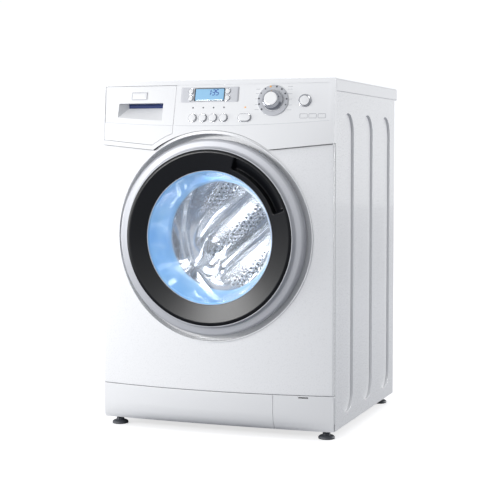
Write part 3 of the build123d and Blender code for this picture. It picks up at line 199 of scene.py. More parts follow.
def turn(profile, angles):
    """Grid of a (depth, radius) profile turned about the drum's axis."""
    return about_axis(profile[:, 1:], profile[:, :1], angles)


full_turn = np.linspace(0, 2 * pi, 192, endpoint=False)
print("full turn in", len(full_turn), "steps")

# %% [markdown]
# Seen from above the front is one arc that stands 32 mm prouder in the middle than at its sides. The control
# panel is ruled between that arc at its foot and a nearly straight line at its top, so it leans back. Both
# are functions of x and z, and a third one gives the tangent plane that buttons and marks sit on.

# %% The bowed front and the leaning panel
panel_half = half_width - 1.0
panel_bulge = 32.0
panel_proud = 6.0
bow_radius = (panel_half**2 + panel_bulge**2) / (2 * panel_bulge)
fascia_foot = 690.0
fascia_step = 8.0
fascia_top_share = 0.1
field_sink = 1.5


def bow(x):
    """Depth of the bowed front: a circle of bow_radius, panel_proud in front at its ends."""
    return bow_radius - np.sqrt(bow_radius**2 - x**2) - panel_bulge - panel_proud


def panel_face(x, z):
    """Depth of the control panel: a share of the bow that falls from 1 at its foot to a tenth at its top."""
    share = fascia_top_share + (1 - fascia_top_share) * (top_z - z) / (top_z - fascia_foot)
    return share * (bow(x) - fascia_step)


def on_panel(x0, z0, u, v, height):
    """Points in the tangent plane at (x0, z0): u to the right, v up and height straight out of the field."""
    e = 1.0
    right = np.array([2 * e, panel_face(x0 + e, z0) - panel_face(x0 - e, z0), 0])
    up = np.array([0, panel_face(x0, z0 + e) - panel_face(x0, z0 - e), 2 * e])
    right = right / np.linalg.norm(right)
    out = np.cross(right, up)
    out = out / np.linalg.norm(out)
    up = np.cross(out, right)
    start = np.array([x0, panel_face(x0, z0) + field_sink, z0])
    u, v, height = np.broadcast_arrays(u, v, height)
    p = start + u[..., None] * right + v[..., None] * up + height[..., None] * out
    return place(p[..., 0], p[..., 1], p[..., 2])


print("bow radius", round(bow_radius, 1))

# %% [markdown]
# Finishes are small graphs of shader nodes. By hand, each node takes a line to add it and one for each of its
# sockets, so a few helpers take that over: a value that is another node's output becomes a link, and any
# other value is set.

# %% Shader node helpers
def fill(tree, node, sockets):
    """Set each named or numbered socket of a node, or link it when the value is another node's output."""
    for key, value in sockets.items():
        if isinstance(value, bpy.types.NodeSocket):
            tree.links.new(value, node.inputs[key])
        else:
            node.inputs[key].default_value = value


def add_node(tree, kind, output, sockets=None, **settings):
    """Add a shader node with its settings and sockets, and give back one of its outputs."""
    node = tree.nodes.new("ShaderNode" + kind)
    for key, value in settings.items():
        setattr(node, key, value)
    fill(tree, node, sockets or {})
    return node.outputs[output]


def mix(tree, share, first, second):
    """Colour that goes from the first to the second as the share goes from 0 to 1."""
    sockets = {"Factor": share, "A": first, "B": second}
    return add_node(tree, "Mix", "Result", sockets, data_type="RGBA")


def ramp(tree, value, old=(0.0, 1.0), new=(0.0, 1.0), kind="LINEAR"):
    """Value carried from an old range to a new one."""
    limits = dict(zip(("From Min", "From Max", "To Min", "To Max"), (*old, *new)))
    return add_node(tree, "MapRange", "Result", {"Value": value, **limits}, interpolation_type=kind)


def maths(tree, operation, first, second=0.0):
    """Output of a Math node."""
    return add_node(tree, "Math", "Value", {0: first, 1: second}, operation=operation)


def bump(tree, height, strength, distance):
    """Normal of a relief whose full height is a distance in metres."""
    return add_node(tree, "Bump", "Normal", {"Height": height, "Strength": strength, "Distance": distance})


finishes = {}


def new_finish(name):
    """New material kept under its name; gives its node tree and its shader."""
    material = bpy.data.materials.new(name)
    material.use_nodes = True
    finishes[name] = material
    return material.node_tree, material.node_tree.nodes["Principled BSDF"]


print("node helpers ready")

# %% [markdown]
# Enamel, plastic, rubber and steel differ less in colour than in how they break up a reflection. So one
# helper makes a finish from a base colour and three small variations that follow the same noise: in the
# colour, in the gloss and in a fine relief. A painted image could do the same, but noise on object
# coordinates needs no unwrapping and has no seams.

# %% Finish helper
def finish(name, colour, roughness, grain, mottle, relief, metal=0.0, coat=0.0, stretch=(1, 1, 1), shine=0.5):
    """Material with noise of some grain that mottles its colour and roughness and makes its relief."""
    tree, shader = new_finish(name)
    where = add_node(tree, "TexCoord", "Object")
    squeezed = add_node(tree, "Mapping", "Vector", {"Vector": where, "Scale": stretch})
    noise = add_node(tree, "TexNoise", "Fac", {"Vector": squeezed, "Scale": grain, "Detail": 3.0})
    dark, light = (tuple(min(1.0, c * k) for c in colour) + (1.0,) for k in (1 - mottle, 1 + mottle))
    fill(tree, shader, {
        "Base Color": mix(tree, noise, dark, light),
        "Roughness": ramp(tree, noise, new=(roughness * 0.85, min(1.0, roughness * 1.15))),
        "Normal": bump(tree, noise, relief, 0.0005),
        "Metallic": metal,
        "Coat Weight": coat,
        "Coat Roughness": 0.05,
        "Specular IOR Level": shine,
    })
    return tree, shader


# %% Finishes of the machine
finish("white_enamel", (0.86, 0.865, 0.875), 0.28, 350, 0.006, 0.015, coat=0.4)
finish("worktop_laminate", (0.77, 0.775, 0.785), 0.38, 1400, 0.012, 0.05)
finish("white_plastic", (0.81, 0.815, 0.825), 0.35, 1100, 0.008, 0.03, coat=0.15)
finish("knob_plastic", (0.90, 0.90, 0.90), 0.22, 900, 0.01, 0.01, coat=0.5)
finish("silver_plastic", (0.51, 0.52, 0.55), 0.42, 2600, 0.03, 0.01, metal=0.22, coat=0.1)
finish("trim_chrome", (0.54, 0.55, 0.58), 0.16, 1600, 0.03, 0.004, metal=1.0)
finish("black_plastic", (0.004, 0.0045, 0.006), 0.29, 1600, 0.12, 0.012, shine=0.30)
finish("grey_plastic", (0.50, 0.51, 0.53), 0.45, 900, 0.03, 0.05)
finish("tub_plastic", (0.74, 0.75, 0.74), 0.55, 500, 0.05, 0.12)
finish("navy_plastic", (0.012, 0.028, 0.13), 0.5, 1000, 0.04, 0.03, shine=0.2)
finish("display_blue", (0.30, 0.56, 0.80), 0.20, 600, 0.02, 0.0, coat=0.6)
finish("dial_grey", (0.50, 0.51, 0.54), 0.34, 1500, 0.01, 0.02, coat=0.2)
finish("plate_grey", (0.58, 0.59, 0.62), 0.40, 1500, 0.02, 0.02)
finish("dot_grey", (0.035, 0.04, 0.05), 0.45, 1500, 0.1, 0.01)
finish("printed_grey", (0.22, 0.23, 0.26), 0.55, 1500, 0.05, 0.01)
finish("digit_blue", (0.015, 0.06, 0.34), 0.40, 1500, 0.05, 0.0)
finish("lamp_orange", (0.95, 0.42, 0.005), 0.30, 1500, 0.03, 0.0, coat=0.5)
finish("gasket_rubber", (0.30, 0.31, 0.33), 0.62, 1200, 0.08, 0.10)
finish("belt_rubber", (0.03, 0.03, 0.03), 0.75, 1500, 0.15, 0.15)
finish("foot_plastic", (0.075, 0.08, 0.092), 0.45, 1200, 0.12, 0.06)
finish("stainless", (0.80, 0.82, 0.85), 0.19, 40, 0.03, 0.012, metal=1.0, stretch=(1, 30, 1))
finish("zinc_steel", (0.62, 0.64, 0.67), 0.36, 90, 0.14, 0.08, metal=1.0)
finish("cast_aluminium", (0.68, 0.69, 0.70), 0.48, 700, 0.08, 0.25, metal=1.0)
finish("cast_weight", (0.24, 0.24, 0.25), 0.80, 450, 0.12, 0.35)
print(len(finishes), "finishes")

# %% [markdown]
# Hoses screw onto two water inlets at the back. Their thread is too fine to be worth its faces, so it is a
# relief whose height follows a sine of the depth, past the back of the cabinet only.

# %% Threaded inlets
thread_length, thread_pitch = 15.5, 1.8
thread_start = span("inlet_valves", "y")[1] - thread_length

tree, shader = finish("threaded_plastic", (0.50, 0.51, 0.53), 0.42, 900, 0.03, 0.02)
depth = add_node(tree, "SeparateXYZ", "Y", {"Vector": add_node(tree, "TexCoord", "Object")})
past_start = maths(tree, "MAXIMUM", maths(tree, "SUBTRACT", depth, thread_start * 0.001))
turned = maths(tree, "MULTIPLY", past_start, 2000 * pi / thread_pitch)
fill(tree, shader, {"Normal": bump(tree, maths(tree, "SINE", turned), 1.0, 0.0008)})
print("thread from", round(thread_start, 1), "mm")

# %% [markdown]
# A truly refracting bowl would keep soft light out of the drum and turn it black. So this glass lets light
# straight through where it faces the viewer and shows more of itself at a glancing angle, as a thin wall
# does. The side wall of the real bowl is a strong sky blue, which fades where the wall turns into the clear
# end. That tint follows the depth, read from object coordinates. The tinted wall also glows faintly in its
# own blue: a painted glow that brightens it as light would.

# %% Bowl glass
tint_end, tint_fade = 44.0, 8.0
milkiness, painted_glow_share = 0.62, 0.22
light_blue, strong_blue = (0.42, 0.72, 1.0, 1), (0.27, 0.57, 0.95, 1)

tree, shader = new_finish("door_glass")
where = add_node(tree, "TexCoord", "Object")
depth = add_node(tree, "SeparateXYZ", "Y", {"Vector": where})
fades = ((front + tint_end - tint_fade) * 0.001, (front + tint_end) * 0.001)
wall = ramp(tree, depth, fades, (1.0, 0.0), "SMOOTHSTEP")
cloud = add_node(tree, "TexNoise", "Fac", {"Vector": where, "Scale": 14.0})
blue = mix(tree, ramp(tree, cloud, (0.3, 0.7)), strong_blue, light_blue)
colour = mix(tree, wall, (0.86, 0.93, 1.0, 1), blue)
veil = ramp(tree, add_node(tree, "LayerWeight", "Fresnel", {"Blend": 0.22}), new=(0.05, 0.75))
fill(tree, shader, {
    "Base Color": colour,
    "Roughness": 0.06,
    "Coat Weight": 1.0,
    "Alpha": maths(tree, "MAXIMUM", veil, maths(tree, "MULTIPLY", wall, milkiness)),
    # painted glow: the tinted side wall emits light in its own blue, as if it were lit
    "Emission Color": colour,
    "Emission Strength": maths(tree, "MULTIPLY", wall, painted_glow_share),
})
print("glass tinted down to", tint_end, "mm behind the front plane")

# %% [markdown]
# Each CAD node gets the finish of its slot. Each new piece gets a finish, follows its body, and hides the
# nodes whose place it takes.

# %% Dress nodes and pieces
slot_of = {entry["node"]: entry["material_slot"] for entry in frame["record"]["subparts"]}
for node, slot_name in slot_of.items():
    skins = nodes[node].data.materials
    skins.clear()
    skins.append(finishes["threaded_plastic" if node == "inlet_valves" else slot_name])
print("finished", len(slot_of), "nodes")


def dress(piece, finish_name, body, *replaced):
    """Give a piece its finish and body, and hide the nodes that it stands for."""
    piece.data.materials.clear()
    piece.data.materials.append(finishes[finish_name])
    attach(piece, body)
    if replaced:
        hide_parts(*replaced)


# %% [markdown]
# Pressed and moulded parts have no knife edges. Where the CAD form is already right, a copy of the node is
# merged and given a small bevel on every corner, which catches the light as a real fold does. Only corners
# over a limit are kept sharp, so the faces of a many-sided round shade as one curve.

# %% Softened copies of CAD nodes
sharp_from = float(radians(28.0))


def softened(node, width, body):
    """Copy of a node with merged points, smooth shading and corners bevelled by a width in millimetres."""
    mesh = nodes[node].data.copy()
    mesh.name = node + "_soft"
    piece = tidy_piece(node + "_soft", mesh)
    work = bmesh.new()
    work.from_mesh(mesh)
    bmesh.ops.dissolve_limit(work, angle_limit=radians(0.4), verts=work.verts, edges=work.edges)
    for edge in work.edges:
        edge.smooth = edge.is_manifold and edge.calc_face_angle(0.0) < sharp_from
    work.to_mesh(mesh)
    work.free()
    bevel = piece.modifiers.new("soft_corners", "BEVEL")
    bevel.width = width * 0.001
    bevel.segments = 3
    bevel.limit_method = "ANGLE"
    bevel.angle_limit = sharp_from
    bevel.harden_normals = True
    dress(piece, slot_of[node], body, node)


for body, width, names in (
    ("cabinet", 1.8, ("cabinet_shell", "worktop")),
    ("cabinet", 1.2, ("plinth",)),
    ("cabinet", 1.0, ("back_cover",)),
    ("cabinet", 0.6, ("control_fascia",)),
    ("cabinet", 0.5, ("base_tray", "drain_pump", "dispenser_housing", "hinge_bracket", "door_lock")),
    ("filter_flap", 1.2, ("filter_flap",)),
    ("drawer", 0.8, ("drawer_front",)),
    ("drawer", 0.6, ("drawer_tray",)),
    ("tub", 1.0, ("tub_front", "tub_rear", "dryer_duct", "drive_motor", "counterweight")),
    ("door", 0.5, ("hinge_arm",)),
    ("door", 0.4, ("door_back_ring",)),
    ("drum", 0.6, ("drum_pulley",)),
):
    for node in names:
        softened(node, width, body)

# %% [markdown]
# The front panel is one pressed sheet: folded edges, a bowed face, a round bead, and a dished well for the
# door. Round a hole cut by a boolean the shading would break up, so the grid runs in rings about the door's
# axis: from the porthole over the well's floor, up its wall, over the bead, out across the bow and round it.

# %% Outline of the front panel seen from the door's axis
seam = 0.8
panel_low = plinth_top + seam
arch_radius = 255.0
arch_foot_z = 683.5
arch_foot_x = np.sqrt(arch_radius**2 - (arch_foot_z - door_z) ** 2)
side_foot_z = 698.0
fascia_half = half_width + 1.0
edge_rise = (side_foot_z - arch_foot_z) / (fascia_half - arch_foot_x)
edge_at_side = arch_foot_z + edge_rise * (panel_half - arch_foot_x) - seam


def edge_distance(angle, inset=0.0):
    """Distance from the door's axis to the panel's outline, moved in by inset.

    It is the shortest of the distances to the two sides, the foot, and the rising top edges or the arch.
    """
    c, s = cos(angle), sin(angle)
    far, least = 1e6, 1e-9
    side = (panel_half - inset) / np.maximum(np.abs(c), least)
    foot = np.where(s < 0, (door_z - panel_low - inset) / np.maximum(-s, least), far)
    slope = s - edge_rise * np.abs(c)
    above = arch_foot_z - seam - door_z - edge_rise * arch_foot_x - inset * np.hypot(1, edge_rise)
    rise = np.where(slope > 0, above / np.maximum(slope, least), far)
    under_arch = (s > 0) & (np.abs(c) * arch_radius <= arch_foot_x)
    rise = np.where(under_arch, arch_radius - seam - inset, rise)
    return np.minimum(np.minimum(side, foot), rise)


print("panel edge", edge_distance(0.0), "to the side")

# %% Angles of the front panel's grid
outline_corners = np.array([(panel_half, edge_at_side), (arch_foot_x, arch_foot_z), (panel_half, panel_low)])
turns = np.arctan2(outline_corners[:, 1] - door_z, outline_corners[:, 0])
turns = np.r_[turns, pi - turns]
spread = radians([-0.5, -0.25, -0.08, -0.02, 0.02, 0.08, 0.25, 0.5])
latch_slot = radians(3.6)
near_corners = (turns[:, None] + spread).ravel()
panel_angles = np.r_[radians(np.arange(-180, 180, 1.5)), near_corners, -latch_slot, latch_slot]
panel_angles = np.unique(np.round(np.mod(panel_angles + pi, 2 * pi), 7)) - pi
print("outline steps", len(panel_angles))

# %% Well and bead of the front panel
well_radius, bead_width, bead_proud, bead_foot = 247.0, 2.5, 2.5, 1.6
dish_depth, dish_edge = -8.0, 236.0
porthole_radius = 168.0
bead_radius = well_radius + bead_width
level = np.zeros_like(panel_angles)
floor_radii = [porthole_radius, 180.0, 196.0, 217.0, 230.0]
floor_rows = np.array([(dish_depth + level, radius + level) for radius in floor_radii])
bead_face = bow(bead_radius * cos(panel_angles))
corners = [
    (dish_depth, dish_edge), (dish_depth, well_radius), (bead_face - bead_proud, well_radius),
    (bead_face - bead_proud, bead_radius), (bead_face, bead_radius), (bead_face, bead_radius + bead_foot),
]
corners = np.array([(depth + level, radius + level) for depth, radius in corners]).reshape(6, -1)
bead_rows = rounded(corners, [0, 6.0, 1.2, 1.2, 0.7, 0], steps=6, closed=False)
bead_rows = bead_rows.reshape(-1, 2, len(panel_angles))
print("well and bead in", len(floor_rows) + len(bead_rows), "rings")

# %% Front panel
fold, return_depth = 2.0, 8.0
face_start = bead_radius + bead_foot
share = np.r_[np.linspace(0.02, 0.95, 14), 1.0][:, None]
face_radius = face_start + share * (edge_distance(panel_angles, fold) - face_start)
bend = np.linspace(0, pi / 2, 7)[1:, None]
bend_radius = np.stack([edge_distance(panel_angles, fold * (1 - sin(b))) for b in bend[:, 0]])
outer_radius = np.concatenate([face_radius, bend_radius, bend_radius[-1:]])
lift = np.concatenate([0 * share, fold * (1 - cos(bend)), [[0.0]]])
outer_depth = bow(outer_radius * cos(panel_angles)) + lift
outer_depth[-1] = return_depth
outer_rows = np.stack([outer_depth, outer_radius], axis=1)
panel_grid = np.concatenate([floor_rows, bead_rows, outer_rows])
slot_ring = 2
keep = np.ones((len(panel_grid) - 1, len(panel_angles)), bool)
in_slot = (panel_angles >= -latch_slot - 1e-6) & (panel_angles < latch_slot - 1e-6)
keep[slot_ring, in_slot] = False
points = about_axis(panel_grid[:, 1], panel_grid[:, 0], panel_angles)
panel = sheet_piece("panel_sheet", points, keep=keep, look=(0, -1, 0))
thicken(panel, 0.0012)
dress(panel, "white_enamel", "cabinet", "front_panel")

# %% [markdown]
# The filter flap needs room behind it to tip out, which would leave a dark slit at the machine's corner. A
# narrow bent strip closes it, from above the flap's pivot, where nothing swings backwards.

# %% Closing strip beside the flap
strip_x, strip_front, strip_back, strip_width = half_width - 1.3, 1.8, 9.5, 7.0
strip_path = [(strip_x, strip_front), (strip_x, strip_back), (strip_x - strip_width, strip_back)]
strip_path = rounded(strip_path, [0, 1.5, 0], closed=False)
strip_heights = np.array([39.5, 42.0, 73.0, plinth_top - 3.0, plinth_top - seam])
strip_grid = place(strip_path[:, :1], strip_path[:, 1:], strip_heights)
strip = sheet_piece("closing_strip", strip_grid, joined=0, look=(1, 0.3, 0))
thicken(strip, 0.001)
dress(strip, "white_enamel", "cabinet")

# %% [markdown]
# The door is a silver ring around a black one around the glass, all turned about one axis. Only two places
# aren't round: a notch at the back of the silver ring for the hinge arm, and the finger recess in the black
# one. Both are made by moving points of the turned grid, so the surface stays one clean sheet.

# %% Silver outer ring
notch_half, notch_floor = 48.5, -39.0
frame_corners = [
    (-14, door_radius), (-38, door_radius), (-42, door_radius - 4), (-44.5, 214), (-54, 211.5),
    (-54, 209.5), (-42, 209.5), (-39, door_radius - 2.5), (-14, door_radius - 2.5),
]
frame_profile = rounded(frame_corners, [0.6, 3.2, 4.5, 4.0, 0.9, 0.9, 0.5, 0.5, 0.6], steps=9)
notch = np.arcsin(notch_half / door_radius)
notch_sides = np.array([-notch, notch])[:, None] + [-3e-4, 3e-4]
angles = np.sort(np.r_[full_turn, pi + notch_sides.ravel()])
in_notch = np.abs(angles - pi) < notch
depth = np.where(in_notch, np.minimum(frame_profile[:, :1], notch_floor), frame_profile[:, :1])
points = about_axis(frame_profile[:, 1:], depth, angles)
silver_ring = sheet_piece("door_ring", points, joined=2)
dress(silver_ring, "silver_plastic", "door", "door_frame")

# %% Black inner ring with its finger recess
def ease(x, low, high):
    """Smooth step from 0 at low to 1 at high: t^2 (3 - 2t)."""
    t = np.clip((x - low) / (high - low), 0, 1)
    return t * t * (3 - 2 * t)


grip_inner, grip_outer = 172.0, 202.5
grip_start, grip_end, grip_ramp = radians([19.0, 71.0, 2.6])
grip_floor, grip_rise = -35.0, 11.0
ring_inner, ring_outer = 160.0, 209.5

fine_rows = np.r_[np.arange(172, 183, 0.75), np.arange(197, 203, 0.4), 160.6, 160.2]
rows = np.unique(np.r_[np.arange(161, 209.6, 2.0), fine_rows, ring_outer])[::-1]
fine_turns = radians(np.r_[np.arange(17, 23, 0.3), np.arange(67, 73, 0.3)]) + 1e-4
angles = np.sort(np.r_[full_turn, fine_turns])
angles = angles[np.r_[True, np.diff(angles) > 2e-4]]
across = ease(rows, grip_inner, grip_inner + 6) * (1 - ease(rows, grip_outer - 1.6, grip_outer))
along = ease(angles, grip_start, grip_start + grip_ramp) * (1 - ease(angles, grip_end - grip_ramp, grip_end))
sink = across[:, None] * along
print("black ring's grid", sink.shape)

# %% Black ring and the lip of the glass
crown = rounded([(-54, ring_outer), (-56, 203), (-46.5, ring_inner)], [0, 7.0, 0], steps=9, closed=False)
base_depth = np.interp(rows, crown[::-1, 1], crown[::-1, 0])
cup = grip_floor - grip_rise * ease(rows, grip_inner + 4, grip_outer)
face_depth = base_depth[:, None] * (1 - sink) + cup[:, None] * sink
skirt = np.array([[-42.0], [-53.4]]) + 0 * angles
inner_edge = np.array([[-46.3], [-45.9], [-44.2]]) + 0 * angles
depth = np.concatenate([skirt, face_depth, inner_edge])
radius = np.r_[209.4, 209.4, rows, ring_inner, 159.9, 159.9][:, None]
points = about_axis(radius, depth, angles)
black_ring = sheet_piece("door_inner_ring", points, look=(0, -1, 0))
thicken(black_ring, 0.002)
dress(black_ring, "black_plastic", "door", "door_inner_frame")
lip = rounded([(-46.9, 159.6), (-46.9, 158.6), (-44.6, 158.6), (-44.6, 159.6)], 0.35, steps=5)
glass_lip = sheet_piece("glass_trim", turn(lip, full_turn), joined=2)
dress(glass_lip, "silver_plastic", "door")

# %% [markdown]
# Pressed glass isn't quite even. The radius of the bowl's wall shrinks and grows by less than a per cent
# round the heel, which is enough to break up its highlights.

# %% Glass bowl
bowl_corners = [
    (56, 0), (56, 112), (36, 138), (-43.5, 156), (-43.5, 168),
    (-39.5, 168), (-39.5, 160), (38, 142), (60, 114), (60, 0),
]
bowl_profile = rounded(bowl_corners, [0, 16, 16, 5, 0.6, 0.6, 3, 18, 16, 0], steps=12, closed=False)
depth, radius = bowl_profile[:, :1], bowl_profile[:, 1:]
heel = np.exp(-(((depth - 30) / 22) ** 2)) * (radius > 80)
ripple = 1 - 0.004 * heel * (1 + sin(11 * full_turn + 0.7 * sin(3 * full_turn)))
bowl = sheet_piece("door_bowl", about_axis(radius * ripple, depth, full_turn))
dress(bowl, "door_glass", "door", "door_glass")

# %% [markdown]
# The rubber gasket joins the cabinet, which stands still, to the tub, which bounces. It is a bellows: a bead
# round the porthole, a lip that touches the glass, and two folds.

# %% Gasket
fold_corners = [
    (-6.8, 174), (-6.8, 167), (8, 153.5), (13, 153), (20, 158), (25, 170), (32, 174), (39, 163), (46, 161),
    (62, 172), (62, 176), (47, 166), (41, 168), (33, 179), (24, 176), (17, 162), (12, 158), (-2, 170),
    (-2, 174),
]
gasket_grid = turn(rounded(fold_corners, 4.0, steps=6), full_turn[::2])
gasket = sheet_piece("gasket_bellows", gasket_grid, joined=2)
gasket.data.materials.append(finishes["gasket_rubber"])
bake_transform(gasket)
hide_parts("door_gasket")

# %% [markdown]
# Two springs carry the tub. A spring is a round wire swept along a helix, so a small circle is drawn across
# the wire at each step. Its upper hook holds on to the cabinet and its lower one to the tub.

# %% Springs
def coil(x0, depth0, low, high, radius, wire, rounds):
    """Closed wire of a helix as rows of small circles.

    Centre at angle a = 2 pi n t: (x0 + R cos a, depth0 + R sin a, low to high). Each circle spans the
    outward direction and the one across it and the wire. The first and last rows shrink to points.
    """
    t = np.linspace(0, 1, 30 * rounds)[:, None]
    a = 2 * pi * rounds * t
    b = np.linspace(0, 2 * pi, 12, endpoint=False)
    size = wire * np.where((t == 0) | (t == 1), 0.0, 1.0)
    pitch = (high - low - 2 * wire) / (2 * pi * rounds)
    length = np.hypot(radius, pitch)
    away = size * cos(b)
    lift = size * sin(b)
    x = x0 + (radius + away) * cos(a) + lift * pitch / length * sin(a)
    depth = depth0 + (radius + away) * sin(a) - lift * pitch / length * cos(a)
    z = low + wire + (high - low - 2 * wire) * t + lift * radius / length
    return place(x, depth, z)


spring_sides, spring_depths, spring_heights = (span("suspension_springs", axis) for axis in "xyz")
spring_radius = (spring_depths[1] - spring_depths[0]) / 2
spring_wire, spring_rounds = 1.2, 28
spring_depth = sum(spring_depths) / 2 - front
wires = [
    coil(x, spring_depth, *spring_heights, spring_radius - spring_wire, spring_wire, spring_rounds)
    for x in (spring_sides[0] + spring_radius, spring_sides[1] - spring_radius)
]
springs = sheet_piece("spring_coils", np.array(wires))
springs.data.materials.append(finishes["zinc_steel"])
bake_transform(springs)
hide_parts("suspension_springs")

# %% [markdown]
# A levelling foot is turned too, but its pad has ribs, its nut six sides and its stem a thread. Each is a
# radius that changes with the angle: a fine cosine, a distance over a cosine, and a cosine whose phase grows
# by one turn for each millimetre and a half.

# %% Shape of a foot
plain, ribbed, nut, thread = range(4)


def foot_radius(part, base, z, angle):
    """Radius round a foot for rows of the four kinds; base is the row's outer radius and z its height."""
    ribs = base * (1 - 0.025 * (0.5 + 0.5 * cos(40 * angle)))
    sides = np.minimum(base / cos((angle + pi / 6) % (pi / 3) - pi / 6), base * 1.12)
    ridge = base - 0.35 * (1 - cos(2 * pi * z / 1.5 - angle))
    return np.select([part == ribbed, part == nut, part == thread], [ribs, sides, ridge], base)


foot_rows = [
    (plain, 0, 0), (plain, 18.0, 0), (ribbed, 19.7, 0.5), (ribbed, 20.0, 1.8), (ribbed, 19.9, 4.2),
    (ribbed, 18.6, 6.6), (plain, 15.5, 8.4), (plain, 12.5, 9.0), (plain, 8.5, 9.1),
    (nut, 8.5, 9.4), (nut, 8.5, 14.7), (plain, 8.3, 15.0), (plain, 5.0, 15.0),
    *((thread, 5.0, z) for z in np.arange(15.3, 47.3, 0.25)),
    (plain, 4.6, 47.7), (plain, 4.0, 48.0), (plain, 0, 48.0),
]
print("foot profile", len(foot_rows), "rows")

# %% Feet
part, base, z = (np.array(column)[:, None] for column in zip(*foot_rows))
angle = np.linspace(0, 2 * pi, 120, endpoint=False)
radius = foot_radius(part, base, z, angle)
for corner in ("left_front", "left_rear", "right_front", "right_rear"):
    node = "foot_" + corner
    x0, y0 = (sum(span(node, axis)) / 2 for axis in "xy")
    grid = place(x0 + radius * cos(angle), y0 - front + radius * sin(angle), z)
    piece = sheet_piece(node + "_turned", grid)
    dress(piece, "foot_plastic", node, node)

# %% [markdown]
# The drum is bright steel pierced by hundreds of small holes. Cutting them would cost a hundred thousand
# faces that are only seen through glass. Instead the finish darkens a small disc in every cell of a staggered
# grid, on a surface map of its own: u is the distance round the drum and v the distance along it.

# %% Pierced steel
hole_pitch, hole_size, row_share = 13.0, 5.0, 0.866
hole_radius = hole_size / hole_pitch / 2

bright_steel = (0.88, 0.895, 0.92)
tree, shader = finish("pierced_drum", bright_steel, 0.16, 30, 0.03, 0.006, metal=1.0)
surface = add_node(tree, "UVMap", "UV")
u, v = (add_node(tree, "SeparateXYZ", axis, {"Vector": surface}) for axis in "XY")
row = maths(tree, "DIVIDE", v, hole_pitch * row_share)
odd = maths(tree, "MODULO", maths(tree, "FLOOR", row), 2.0)
column = maths(tree, "ADD", maths(tree, "DIVIDE", u, hole_pitch), maths(tree, "MULTIPLY", odd, 0.5))
across = maths(tree, "SUBTRACT", maths(tree, "FRACT", column), 0.5)
up = maths(tree, "MULTIPLY", maths(tree, "SUBTRACT", maths(tree, "FRACT", row), 0.5), row_share)
squares = maths(tree, "ADD", maths(tree, "MULTIPLY", across, across), maths(tree, "MULTIPLY", up, up))
distance = maths(tree, "SQRT", squares)
field = add_node(tree, "Attribute", "Fac", attribute_name="pierced")
whole = maths(tree, "SUBTRACT", 1.0, field)
bright = ramp(tree, distance, (hole_radius * 0.85, hole_radius * 1.15))
rim = ramp(tree, distance, (hole_radius * 0.9, hole_radius * 2.0))
steel = shader.inputs["Base Color"].links[0].from_socket
fill(tree, shader, {
    "Base Color": mix(tree, maths(tree, "MAXIMUM", bright, whole), (0.02, 0.025, 0.03, 1), steel),
    "Normal": bump(tree, maths(tree, "MAXIMUM", rim, whole), 0.6, 0.001),
})
print("holes of", hole_size, "mm every", hole_pitch, "mm")

# %% [markdown]
# The back wall has pressed waves, which throw the broad slanting streaks seen through the glass. The wall
# between the lifters is pierced in three fields and the back only in the hollows of its waves, so each point
# of the mesh is told how much of the pattern it takes.

# %% Waves and pierced fields of the drum
drum_radius = 239.4
wave_turn = radians(41.0)
wave_length, wave_first, wave_height = 106.0, 98.0, 15.0


def back_wave(x, z):
    """Pressed waves of the back wall, from -1 in a hollow to 1 on a crest: cosine across a direction."""
    across = z * cos(wave_turn) - x * sin(wave_turn)
    return cos(2 * pi * (across - wave_first) / wave_length)


def read(items, key, width=1, kind=np.int32):
    """One attribute of all vertices, corners or faces of a mesh as an array."""
    found = np.empty(len(items) * width, kind)
    items.foreach_get(key, found)
    return found


def lay_coordinates(piece, reach):
    """Surface coordinates in millimetres, and the share of each place that is pierced.

    Round the wall they are the distance round the drum's axis and the distance along it, and on the back wall
    x and z. The angles of one face are kept within half a turn of its first corner, so that none is smeared.
    """
    mesh = piece.data
    corner = read(mesh.loops, "vertex_index")
    first_corner = np.repeat(read(mesh.polygons, "loop_start"), read(mesh.polygons, "loop_total"))
    x, y, z = read(mesh.vertices, "co", 3, np.float32).reshape(-1, 3).T * 1000
    y, z = y - front, z - door_z
    radius, angle = np.hypot(x, z), np.arctan2(z, x)
    first = angle[corner[first_corner]]
    turned = first + (angle[corner] - first + pi) % (2 * pi) - pi
    on_back = radius[corner] < reach - 6
    u = np.where(on_back, x[corner], turned * reach)
    v = np.where(on_back, z[corner], y[corner])
    layer = mesh.uv_layers.new(name="surface")
    layer.data.foreach_set("uv", np.stack([u, v], -1).astype(np.float32).ravel())
    sector = np.abs((np.degrees(angle) - 30 + 60) % 120 - 60)
    wall = (1 - ease(sector, 24, 30)) * ease(y, 110, 122) * (1 - ease(y, 330, 342)) * (radius > reach - 6)
    back = ease(-back_wave(x, z), 0.25, 0.55) * (1 - ease(radius, 170, 190)) * ease(y, 330, 350)
    pierced = mesh.attributes.new("pierced", "FLOAT", "POINT")
    pierced.data.foreach_set("value", np.maximum(wall, back).astype(np.float32))


print("waves", wave_height, "mm high every", wave_length, "mm")

# %% Drum shell
drum_front, drum_back = 74.6, 371.4
drum_corners = [(drum_front, 178.5), (drum_front, drum_radius), (drum_back, drum_radius), (drum_back, 205)]
drum_profile = rounded(drum_corners, [0, 5, 14, 0], steps=9, closed=False)
wall_end = 22
wall_rows = np.linspace(drum_profile[wall_end - 1], drum_profile[wall_end], 28)[1:-1]
back_rows = np.stack([np.full(60, drum_back), np.linspace(205, 0, 60)], -1)[1:]
drum_profile = np.concatenate([drum_profile[:wall_end], wall_rows, drum_profile[wall_end:], back_rows])
depth, radius = drum_profile[:, :1], drum_profile[:, 1:]
swell = (1 - ease(radius, 150, 222)) * (depth > 300)
crest = 1 + back_wave(radius * cos(full_turn), radius * sin(full_turn))
points = about_axis(radius, depth - wave_height * crest * swell, full_turn)
drum = sheet_piece("drum_sheet", points, look=(0, 1, 0))
lay_coordinates(drum, drum_radius)
dress(drum, "pierced_drum", "drum", "drum_shell")

